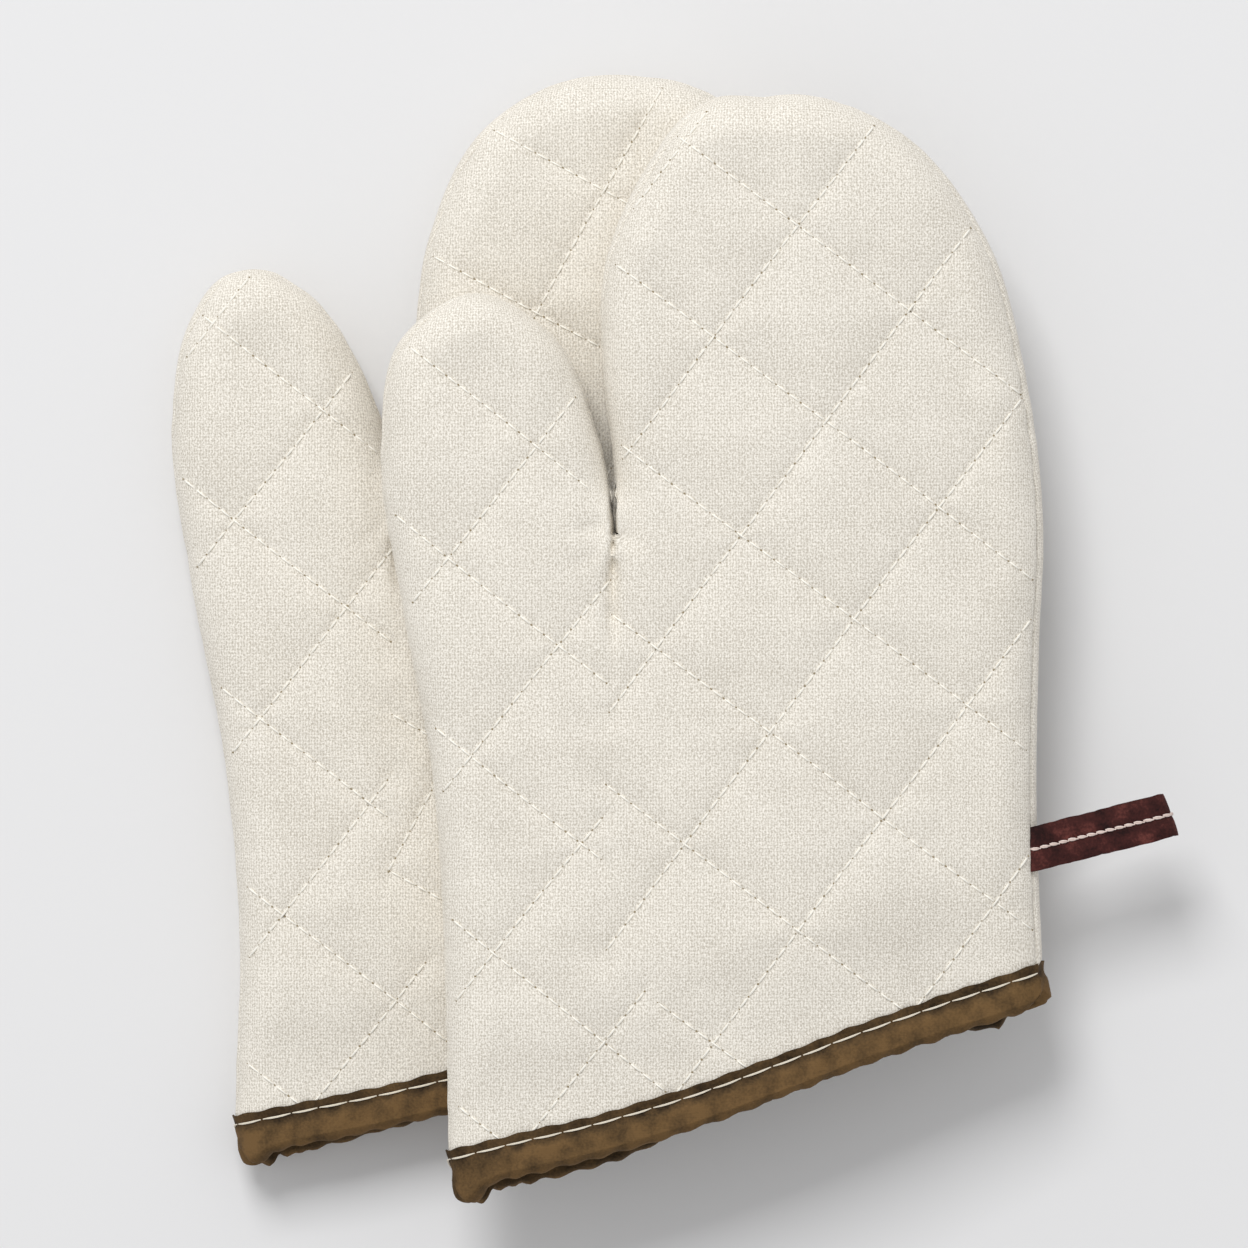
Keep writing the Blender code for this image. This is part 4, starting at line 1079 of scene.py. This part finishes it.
TAPE_STITCH_LINES = {}
for name, mitt in MITTS.items():
    course = tape_course(name)
    rows, painted_light_rows = zip(*(tape_row(mitt, course, turn, level) for turn, level in TAPE_ROWS))
    corners = np.vstack(rows)
    triangles, border = strip(len(rows), len(course["even"]))
    outer_leg = triangles[:2 * 4 * (len(course["even"]) - 1)]
    if not look_outward(corners, outer_leg, corners[outer_leg].mean(axis=(0, 1))):
        triangles = triangles[:, ::-1]
    both, faces = shell(corners, triangles, border, 0.75 * TAPE_THICKNESS)
    tape = make_piece(name + "_cuff_tape", both, faces, name + "_mitt", "olive_tape",
                      [name + "_cuff_binding"])
    # The tape's painted light and shade is kept on its corners for its material.
    store_on_corners(tape, "painted_light", "FLOAT", "value", np.concatenate(painted_light_rows))
    TAPE_STITCH_LINES[name] = ([rows[i] for i in STITCHED_ROWS], course["even"])
    print(tape.name, len(faces), "faces,", round(course["even"][-1] / MM), "mm long, area",
          round(area_of(corners, triangles) * 1e4), "cm2")

# %% [markdown]
# ## Sewing thread
# A lockstitch shows as short bright dashes that dive into the cloth at each needle hole. Each dash
# is a small round tube with five points, its ends sunk into the groove.

# %% Tubes of thread
THREAD_RADIUS = 0.28 * MM
THREAD_SIDES = 5


def tube(points, radii, corners, faces):
    """Adds a closed tube along a few points to the lists of corners and faces."""
    points = np.array(points)
    run = heading(points)
    across = np.cross(run, (0.0, 0.0, 1.0))
    across /= np.maximum(np.linalg.norm(across, axis=1), 1e-12)[:, None]
    over = np.cross(across, run)
    first = len(corners)
    for i, radius in enumerate(radii):
        for k in range(THREAD_SIDES):
            angle = 2 * math.pi * k / THREAD_SIDES
            corners.append(points[i] + radius * (math.cos(angle) * across[i] + math.sin(angle) * over[i]))
    for i in range(len(points) - 1):
        for k in range(THREAD_SIDES):
            a, b = first + i * THREAD_SIDES + k, first + i * THREAD_SIDES + (k + 1) % THREAD_SIDES
            faces.append((a, b, b + THREAD_SIDES, a + THREAD_SIDES))
    faces.append(tuple(first + k for k in range(THREAD_SIDES))[::-1])
    faces.append(tuple(first + (len(points) - 1) * THREAD_SIDES + k for k in range(THREAD_SIDES)))


# %% Stitches and needle holes
STITCH_SHARES = np.array([0.12, 0.28, 0.5, 0.72, 0.88])
STITCH_LIFT = np.array([-0.02, 0.24, 0.33, 0.24, -0.02]) * MM
WOBBLE = 0.05 * MM
HOLE_MARK = 0.30 * MM
HOLE_TOP = (0.14 * MM, 0.20 * MM)
HOLE_FOOT = -0.15 * MM


def whole_pitches(along, pitch):
    return int(along[-1] / pitch + 0.01)


def stitches(lines, pitch, lift=STITCH_LIFT, shares=STITCH_SHARES, bow=0.0):
    """Dashes of thread along lines that each give points, distances along and upward directions."""
    corners, faces = [], []
    girth = np.where(np.abs(shares - 0.5) > 0.37, 0.6, 1.0)
    for points, along, up in lines:
        for k in range(whole_pitches(along, pitch)):
            spots, ups = (at_lengths((k + shares) * pitch, along, part) for part in (points, up))
            wobble = WOBBLE * math.sin(k * 12.9 + pitch)
            spots = spots + ups * lift[:, None] + wobble * np.array([1.0, -1.0, 0.0])
            spots[:, 1] -= bow * np.sin(math.pi * shares)
            tube(spots, THREAD_RADIUS * girth, corners, faces)
    return corners, faces


def needle_holes(lines, pitch):
    """At each needle hole a small flat dark six-sided lens, painted shade for the hole's recess."""
    corners, faces = [], []
    for points, along, up in lines:
        for k in range(whole_pitches(along, pitch) + 1):
            spot, above = (at_lengths([k * pitch], along, part)[0] for part in (points, up))
            side = np.cross(above, (0.6, 0.8, 0.0))
            side /= np.linalg.norm(side)
            ahead = np.cross(side, above)
            size = HOLE_MARK * (1.0 + 0.3 * math.sin(k * 7.3 + along[-1] / MM))
            first = len(corners)
            for turn in np.linspace(0.0, 2 * math.pi, 6, endpoint=False):
                rim = math.cos(turn) * side + 0.8 * math.sin(turn) * ahead
                corners.append(spot + size * rim + HOLE_TOP[0] * above)
            corners += [spot + HOLE_TOP[1] * above, spot + HOLE_FOOT * above]
            for i in range(6):
                a, b = first + i, first + (i + 1) % 6
                faces += [(a, b, first + 6), (b, a, first + 7)]
    return corners, faces


# %% The quilting
THREAD_OVER_TABLE = 0.3 * MM


def quilting_lines(name, panel, side):
    """The rows of stitches of a panel as lines on its cloth."""
    mitt = MITTS[name]
    lines = []
    for run in mitt[panel + "_rows"].runs:
        depth = distance_to_path(run, mitt["path"])
        rise = round_over(depth)
        points = place(mitt, run, cloth_height(name, panel, side, run, depth, side * rise))
        points[:, 2] = np.maximum(points[:, 2], THREAD_OVER_TABLE)
        slope = np.gradient(rise * crown(mitt, run), RUN_STEP)
        direction = np.gradient(run, axis=0) / RUN_STEP
        up = np.column_stack([-slope[:, None] * direction, np.full(len(run), side)])
        up /= np.linalg.norm(up, axis=1)[:, None]
        lines.append((points, whole_stitches(run), up))
    return lines


for name in MITTS:
    for panel, side in PANELS:
        lines = quilting_lines(name, panel, side)
        thread = make_piece(name + "_" + panel + "_quilting_thread", *stitches(lines, STITCH_PITCH),
                            name + "_mitt", "cream_cloth")
        holes = make_piece(name + "_" + panel + "_needle_holes", *needle_holes(lines, STITCH_PITCH),
                           name + "_mitt", "cream_cloth")
        print(thread.name, "and", holes.name, len(holes.data.polygons) // 12, "holes")

# %% The white stitch along each cuff tape
TAPE_SHARES = np.array([0.02, 0.09, 0.3, 0.5, 0.7, 0.91, 0.98])
TAPE_LIFT = np.array([-0.20, 0.10, 0.16, 0.20, 0.16, 0.10, -0.20]) * MM
TAPE_BOW = 0.22 * MM
for name in MITTS:
    stitched, even = TAPE_STITCH_LINES[name]
    lines = []
    for line, outward in zip(stitched, (1.0, -1.0)):
        run = np.gradient(line, axis=0)
        up = outward * np.stack([run[:, 2], np.zeros(len(run)), -run[:, 0]], axis=1)
        up /= np.linalg.norm(up, axis=1)[:, None]
        lines.append((line, even, up))
    corners, faces = stitches(lines, TAPE_STITCH_PITCH, TAPE_LIFT, TAPE_SHARES, TAPE_BOW)
    thread = make_piece(name + "_cuff_tape_thread", corners, faces, name + "_mitt", "cream_cloth")
    print(thread.name, len(faces), "faces")

# %% [markdown]
# ## The hang tapes
# A burgundy tape is doubled into a loop, and its two ends are caught in the right side seam. Each
# loop is placed from its own CAD hinge, which also says where it leaves the seam. A chain of cream
# stitches runs down the middle. Near the seam the tape bends.

# %% The way of the tape round the eye
LOOP_REACH = 35.4 * MM
LOOP_WIDTH = 11.9 * MM
LOOP_OPEN = 7.0 * MM
LOOP_TAPE = 1.2 * MM
LOOP_SURFACE = 0.5 * LOOP_TAPE * 0.72
LOOP_STEP = 0.9 * MM
LOOP_UPPER_MM = [(-3.6, 5.3), (-2.4, 5.3), (1.0, 4.8), (5.0, 4.1), (10.0, 3.4), (16.0, 3.0), (22.0, 3.4),
                 (27.0, 3.9)]
LOOP_LOWER_MM = [(27.0, -3.9), (20.0, -2.8), (12.0, -0.8), (6.0, 1.4), (2.0, 2.9), (-2.4, 4.0), (-3.6, 4.1)]


def loop_middle():
    """Middle of the tape's thickness, as distance out and height, from root to root round the eye."""
    radius = 0.5 * LOOP_OPEN + 0.5 * LOOP_TAPE
    end = LOOP_REACH - radius - 0.5 * LOOP_TAPE
    arc = [(end + radius * math.sin(a), radius * math.cos(a)) for a in np.linspace(0.0, math.pi, 15)]
    return even_steps([*(np.array(LOOP_UPPER_MM) * MM), *arc, *(np.array(LOOP_LOWER_MM) * MM)], LOOP_STEP)


# %% Where a loop's points lie
LOOP_SWING = {"top": 14.2, "bottom": 0.0}
LOOP_END_SLANT = {"top": 18.6, "bottom": 0.0}
LOOP_TILT = {"top": 0.0, "bottom": -10.5}
LOOP_ROOT = -3 * MM


def loop_place(name):
    """The hinge, the way out of the seam, and a function that places points of the tape."""
    joint = next(item for item in frame["joints"] if item["name"] == name + "_loop_swing")
    hinge, axis = np.array(joint["pos_m"]), np.array(joint["axis"])
    out = np.array([-axis[1], axis[0], 0.0])
    swing = math.tan(math.radians(LOOP_SWING[name]) + math.atan2(-out[1], out[0]))
    tilt = math.radians(LOOP_TILT[name])
    slant = math.tan(math.radians(LOOP_END_SLANT[name])) / LOOP_REACH

    def spot(u, v, across):
        far = u * math.cos(tilt) - v * math.sin(tilt)
        up = u * math.sin(tilt) + v * math.cos(tilt)
        past = max(far, LOOP_ROOT)
        sideways = across + past * (1.0 - across * slant) * swing
        return hinge + out * (far - across * slant * past) - axis * sideways + np.array([0.0, 0.0, up])

    return hinge, out, spot


# %% Make the hang loops
LOOP_COLUMNS = 15
CHAIN_PITCH = 2.6 * MM
CHAIN_SHARES = (0.02, 0.3, 0.6, 0.98)
CHAIN_GIRTH = np.array([0.5, 1.0, 1.0, 0.5]) * THREAD_RADIUS


def loop_corners(name, middle, square, spot):
    """The outside of the tape, with a worn groove down its middle and slightly ragged edges."""
    slanted_width = LOOP_WIDTH / math.cos(math.radians(LOOP_SWING[name]))
    seed = MITTS[name]["seed"]
    corners = []
    for share in np.linspace(-0.5, 0.5, LOOP_COLUMNS):
        edge = (abs(share) * 2.0) ** 6
        groove = math.exp(-(share * LOOP_WIDTH / (0.8 * MM)) ** 2)
        for (u, v), (su, sv), along in zip(middle, square, np.arange(len(middle)) * LOOP_STEP):
            wave = 0.22 * MM * noise.noise(Vector((along / (7 * MM), share * 2.2, seed)))
            ragged = 0.25 * MM * noise.noise(Vector((along / (3 * MM), share * 9.0, seed + 4.0))) * edge
            lift = LOOP_SURFACE + wave - 0.18 * MM * edge - 0.22 * MM * groove
            corners.append(spot(u + su * lift, v + sv * lift, share * slanted_width + ragged))
    return np.array(corners)


def chain_stitches(name, middle, square, spot):
    """Two plies for each stitch of the chain down the middle."""
    corners, faces = [], []
    lengths = lengths_along(middle)
    for k in range(int((lengths[-1] - 1 * MM) / CHAIN_PITCH)):
        for ply in (-1.0, 1.0):
            stray = 0.25 * noise.noise(Vector((k * 0.7, ply * 3.1, MITTS[name]["seed"])))
            points = []
            for share in CHAIN_SHARES:
                where = (k + share * 1.12) * CHAIN_PITCH
                u, v, su, sv = at_lengths([where], lengths, np.hstack([middle, square]))[0]
                bulge = math.sin(math.pi * share)
                lift = LOOP_SURFACE + (0.02 + (0.26 + 0.08 * ply) * bulge) * MM
                sideways = (0.6 - 1.2 * share) * (0.5 + stray) + 0.30 * ply * math.sin(math.pi * share + 0.4)
                points.append(spot(u + su * lift, v + sv * lift, sideways * 0.75 * MM))
            tube(points, CHAIN_GIRTH, corners, faces)
    return corners, faces


for name in MITTS:
    hinge, out, spot = loop_place(name)
    middle = loop_middle()
    run = heading(middle)
    square = np.stack([-run[:, 1], run[:, 0]], axis=1)
    corners = loop_corners(name, middle, square, spot)
    triangles, border = strip(LOOP_COLUMNS, len(middle))
    if not look_outward(corners, triangles, corners.mean(axis=0)):
        triangles = triangles[:, ::-1]
    both, faces = shell(corners, triangles, border, 0.8 * LOOP_TAPE)
    tape = make_piece(name + "_hang_tape", both, faces, None, "burgundy_tape", [name + "_hang_loop"])
    stitch = make_piece(name + "_hang_tape_thread", *chain_stitches(name, middle, square, spot), None,
                        "cream_cloth")
    for piece in (tape, stitch):
        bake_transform(piece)
    print(tape.name, len(faces), "faces;", stitch.name, len(stitch.data.polygons), "faces")

# %% [markdown]
# ## Materials
# Each finish starts from the real one. Colours are given as sRGB hex values, as a paint chip would
# be, and one function turns them into the linear values that shaders use. Pattern scales come from
# real sizes in millimetres.

# %% Material helpers
def linear(hex_colour):
    """sRGB hex to linear, with full alpha."""
    parts = [int(hex_colour[i:i + 2], 16) / 255 for i in (1, 3, 5)]
    return tuple(p / 12.92 if p <= 0.04045 else ((p + 0.055) / 1.055) ** 2.4 for p in parts) + (1.0,)


def new_material(name):
    """An empty material with a Principled shader, ready for nodes."""
    material = bpy.data.materials.new(name)
    material.use_nodes = True
    return material, material.node_tree, material.node_tree.nodes["Principled BSDF"]


def add_node(tree, kind, settings=None, links=None):
    """Adds a node, sets its properties and inputs, and links its inputs."""
    node = tree.nodes.new(kind)
    for key, value in (settings or {}).items():
        if isinstance(key, str) and hasattr(node, key):
            setattr(node, key, value)
        else:
            node.inputs[key].default_value = value
    for key, source in (links or {}).items():
        tree.links.new(source, node.inputs[key])
    return node


def per_metre(millimetres):
    """Texture scale for a pattern that repeats after so many millimetres."""
    return 1.0 / (millimetres * MM)


# %% [markdown]
# ### Unbleached cotton, loop-woven and brushed
# The face cloth is natural cotton with a fine looped surface. It gives the eye a warm pale cream,
# no gloss, tiny loops about 0.8 mm apart in upright rows, and slightly thicker and thinner yarns.
# The lining is the same cotton in plain weave, and the batting is felted from it. A wave texture
# repeats 20 times in a full turn of its scale, which the wave period puts right.

# %% Cotton cloths
WAVE_PERIOD = 2 * math.pi / 20
WALE_SHARE = 0.58
TONE_SHARE = 0.35
YARN_MM = 0.55
TONE_MM = 22


def cotton_cloth(name, light, dark, wale, course, wander, uneven, spread, bump_mm):
    """Cotton in rows of loops, with the spacing of the rows each way in mm."""
    material, tree, shader = new_material(name)
    flat = add_node(tree, "ShaderNodeAttribute", {"attribute_name": "flat"}).outputs["Vector"]
    wales, courses = (
        add_node(tree, "ShaderNodeTexWave", {
            "bands_direction": way, "Scale": per_metre(spacing) * WAVE_PERIOD, "Distortion": stray,
            "Detail": 1.0, "Detail Scale": detail}, {"Vector": flat}).outputs["Fac"]
        for way, spacing, stray, detail in (("X", wale, wander, 2.6), ("Y", course, 1.2 * wander, 2.9)))
    yarn, tone = (
        add_node(tree, "ShaderNodeTexNoise", {
            "noise_dimensions": "2D", "Scale": per_metre(size), "Detail": detail},
                 {"Vector": flat}).outputs["Fac"]
        for size, detail in ((YARN_MM, 1.0), (TONE_MM, 3.0)))
    rows = add_node(tree, "ShaderNodeMath", {"operation": "MULTIPLY", 1: WALE_SHARE}, {0: wales})
    height = rows.outputs["Value"]
    levels = []
    for pattern, share in ((courses, 1.0 - WALE_SHARE), (yarn, uneven), (tone, TONE_SHARE)):
        height = add_node(tree, "ShaderNodeMath", {"operation": "MULTIPLY_ADD", 1: share},
                          {0: pattern, 2: height}).outputs["Value"]
        levels.append(height)
    centre = 0.5 * (1.0 + uneven + TONE_SHARE)
    blend = add_node(tree, "ShaderNodeMapRange", {"From Min": centre - spread, "From Max": centre + spread},
                     {"Value": levels[2]})
    colour = add_node(tree, "ShaderNodeMix", {"data_type": "RGBA", 6: linear(dark), 7: linear(light)},
                      {0: blend.outputs["Result"]})
    bump = add_node(tree, "ShaderNodeBump", {"Strength": 0.5, "Distance": bump_mm * MM},
                    {"Height": levels[1]})
    tree.links.new(colour.outputs[2], shader.inputs["Base Color"])
    tree.links.new(bump.outputs["Normal"], shader.inputs["Normal"])
    shader.inputs["Roughness"].default_value = 0.92
    shader.inputs["Specular IOR Level"].default_value = 0.2
    shader.inputs["Sheen Weight"].default_value = 0.1
    shader.inputs["Sheen Roughness"].default_value = 0.6
    return material


FACE_COTTON = cotton_cloth("unbleached_cotton_looped", "#fdf8ee", "#c8c1b4", wale=0.80, course=0.92,
                           wander=5.0, uneven=1.6, spread=0.58, bump_mm=0.06)
LINING_COTTON = cotton_cloth("unbleached_cotton_plain_weave", "#e4dccd", "#c9bfac", wale=0.6, course=0.6,
                             wander=0.4, uneven=0.4, spread=0.5, bump_mm=0.12)
FELTED_COTTON = cotton_cloth("cotton_batting_felted", "#efece4", "#ddd8cc", wale=3.0, course=3.0,
                             wander=3.0, uneven=0.8, spread=0.5, bump_mm=0.3)
print("Cotton cloths ready")

# %% [markdown]
# ### Mercerised cotton thread, plied
# Thread is smoother and brighter than the cloth, with a slight gloss and a fine twist.

# %% Threads
TWIST_MM = 0.5


def plied_thread(name, light, dark):
    material, tree, shader = new_material(name)
    position = add_node(tree, "ShaderNodeTexCoord").outputs["Object"]
    twist = add_node(tree, "ShaderNodeTexNoise", {"Scale": per_metre(TWIST_MM), "Detail": 1.0},
                     {"Vector": position})
    colour = add_node(tree, "ShaderNodeMix", {"data_type": "RGBA", 6: linear(dark), 7: linear(light)},
                      {0: twist.outputs["Fac"]})
    tree.links.new(colour.outputs[2], shader.inputs["Base Color"])
    shader.inputs["Roughness"].default_value = 0.6
    shader.inputs["Sheen Weight"].default_value = 0.1
    return material


QUILTING_THREAD = plied_thread("cotton_thread_natural", "#fffdf6", "#f6f1e6")
TAPE_THREAD = plied_thread("cotton_thread_ivory", "#f8f1e2", "#e4d8c2")
LOOP_THREAD = plied_thread("cotton_thread_rose_ivory", "#f0e0d9", "#d3bdb4")
# The needle holes get a dark finish with the same twist: painted shade for the recess of each hole.
NEEDLE_HOLE_SHADE = plied_thread("cotton_pierced_by_needle", "#a39478", "#85765a")
print("Threads ready")

# %% [markdown]
# ### Waxed olive bias tape and dyed burgundy tape
# The cuff tape is a dense cotton twill with a slight dressing: dark olive brown, with a low gloss.
# Painted light and shade is mixed into its colour: a painted highlight where it stands proud, and
# painted shade under its stitch, past its fold and where it is hidden. The hang tape is a dyed woven
# tape, nearly black in the shade and red where the dye took.

# %% Tapes
SPECK_MM = 0.7
SPECK_SHARE = 0.36
TAPE_TONES = (0.49, 0.73, 1.0)


def woven_tape(name, light, middle, dark, rib, patch, patch_share, painted_light_share, roughness, specular):
    """A dense tape with ribs and cloudy patches of these sizes in mm, from dark to light."""
    material, tree, shader = new_material(name)
    position = add_node(tree, "ShaderNodeTexCoord").outputs["Object"]
    ribs = add_node(tree, "ShaderNodeTexVoronoi", {
        "feature": "F1", "Scale": per_metre(rib), "Randomness": 0.35}, {"Vector": position})
    patches = add_node(tree, "ShaderNodeTexNoise", {
        "Scale": per_metre(patch), "Detail": 3.0, "Roughness": 0.55}, {"Vector": position})
    fine = add_node(tree, "ShaderNodeTexNoise", {"Scale": per_metre(SPECK_MM), "Detail": 2.0},
                    {"Vector": position})
    # The cuff tape's painted light and shade, kept on its corners, moves its tone lighter or darker.
    painted_light = add_node(tree, "ShaderNodeAttribute", {"attribute_name": "painted_light"})
    cloudy = add_node(tree, "ShaderNodeMapRange", {
        "To Min": 0.5 - 0.5 * patch_share, "To Max": 0.5 + 0.5 * patch_share},
                      {"Value": patches.outputs["Fac"]})
    tone = add_node(tree, "ShaderNodeMath", {"operation": "MULTIPLY_ADD", 1: painted_light_share},
                    {0: painted_light.outputs["Fac"], 2: cloudy.outputs["Result"]})
    speck = add_node(tree, "ShaderNodeMath", {"operation": "MULTIPLY_ADD", 1: SPECK_SHARE},
                     {0: fine.outputs["Fac"], 2: tone.outputs["Value"]})
    ramp = add_node(tree, "ShaderNodeValToRGB", {}, {"Fac": speck.outputs["Value"]})
    elements = ramp.color_ramp.elements
    elements[0].position, elements[1].position = TAPE_TONES[0], TAPE_TONES[2]
    elements.new(TAPE_TONES[1])
    for element, hex_colour in zip(elements, (dark, middle, light)):
        element.color = linear(hex_colour)
    bump = add_node(tree, "ShaderNodeBump", {"Strength": 0.5, "Distance": 0.12 * MM},
                    {"Height": ribs.outputs["Distance"]})
    tree.links.new(ramp.outputs["Color"], shader.inputs["Base Color"])
    tree.links.new(bump.outputs["Normal"], shader.inputs["Normal"])
    shader.inputs["Roughness"].default_value = roughness
    shader.inputs["Specular IOR Level"].default_value = specular
    return material


OLIVE_TAPE = woven_tape("cotton_tape_olive_waxed", "#725838", "#513f29", "#2e2317", rib=0.6, patch=7.0,
                        patch_share=0.75, painted_light_share=0.24, roughness=0.75, specular=0.1)
BURGUNDY_TAPE = woven_tape("cotton_tape_burgundy_dyed", "#74403a", "#452321", "#261414", rib=0.5, patch=7.0,
                           patch_share=1.0, painted_light_share=0.0, roughness=0.85, specular=0.15)
print("Tapes ready")

# %% Dress the pieces
FINISHES = {
    "_quilted_cloth": FACE_COTTON, "_lining_cloth": LINING_COTTON, "_padding": FELTED_COTTON,
    "_quilting_thread": QUILTING_THREAD, "_needle_holes": NEEDLE_HOLE_SHADE,
    "_cuff_tape": OLIVE_TAPE, "_cuff_tape_thread": TAPE_THREAD,
    "_hang_tape": BURGUNDY_TAPE, "_hang_tape_thread": LOOP_THREAD,
}
for name, piece in PIECES.items():
    for ending, material in FINISHES.items():
        if name.endswith(ending):
            piece.data.materials.append(material)
print("Dressed", len(PIECES), "pieces")

# %% [markdown]
# ## Table, light and camera
# The mitts lie on a plain pale table. A large soft light stands to the upper left, and a pale sky
# fills the shadows. The camera looks straight down from far away.

# %% Table
TABLE_SIZE = 6.0
TABLE_DROP = 0.2 * MM
bpy.ops.mesh.primitive_plane_add(size=TABLE_SIZE, location=(0.0, 0.0, -TABLE_DROP))
table = bpy.context.active_object
table.name = "table"
TABLE_PAINT, tree, shader = new_material("matt_painted_board")
shader.inputs["Base Color"].default_value = linear("#e8e8e9")
shader.inputs["Roughness"].default_value = 0.95
shader.inputs["Specular IOR Level"].default_value = 0.1
table.data.materials.append(TABLE_PAINT)

# %% Light
SKY_SHARE = 0.59
LAMP_SHARE = 0.43
LAMP_SIZE = 1.5
LAMP_PLACE = Vector((-0.8, 2.24, 3.04))
world = bpy.data.worlds.new("studio")
bpy.context.scene.world = world
world.use_nodes = True
world.node_tree.nodes["Background"].inputs["Color"].default_value = (1.0, 1.0, 1.0, 1.0)
world.node_tree.nodes["Background"].inputs["Strength"].default_value = SKY_SHARE
lamp_data = bpy.data.lights.new("soft_box", "AREA")
lamp_data.shape = "SQUARE"
lamp_data.size = LAMP_SIZE
distance = LAMP_PLACE.length
lamp_data.energy = LAMP_SHARE * math.pi ** 2 * distance ** 2 / (LAMP_PLACE.z / distance)
lamp = bpy.data.objects.new("soft_box", lamp_data)
lamp.location = LAMP_PLACE
lamp.rotation_euler = (-LAMP_PLACE).to_track_quat("-Z", "Y").to_euler()
bpy.context.scene.collection.objects.link(lamp)
print("Lamp of", round(lamp_data.energy, 1), "W at", [round(value, 2) for value in LAMP_PLACE])

# %% Camera
FRAME_WIDTH = 338.8 * MM
CAMERA_HEIGHT = 4.0
CLOTH_HEIGHT = 40 * MM
CAMERA_AIM = (-13.43 * MM, 3.09 * MM)
SENSOR_MM = 36.0
camera_data = bpy.data.cameras.new("camera")
camera_data.sensor_width = SENSOR_MM
camera_data.lens = SENSOR_MM * (CAMERA_HEIGHT - CLOTH_HEIGHT) / FRAME_WIDTH
camera_data.clip_end = 50.0
camera = bpy.data.objects.new("camera", camera_data)
camera.location = (*CAMERA_AIM, CAMERA_HEIGHT)
bpy.context.scene.collection.objects.link(camera)
bpy.context.scene.camera = camera
bpy.context.scene.view_settings.view_transform = "Standard"
print("Lens of", round(camera_data.lens), "mm")
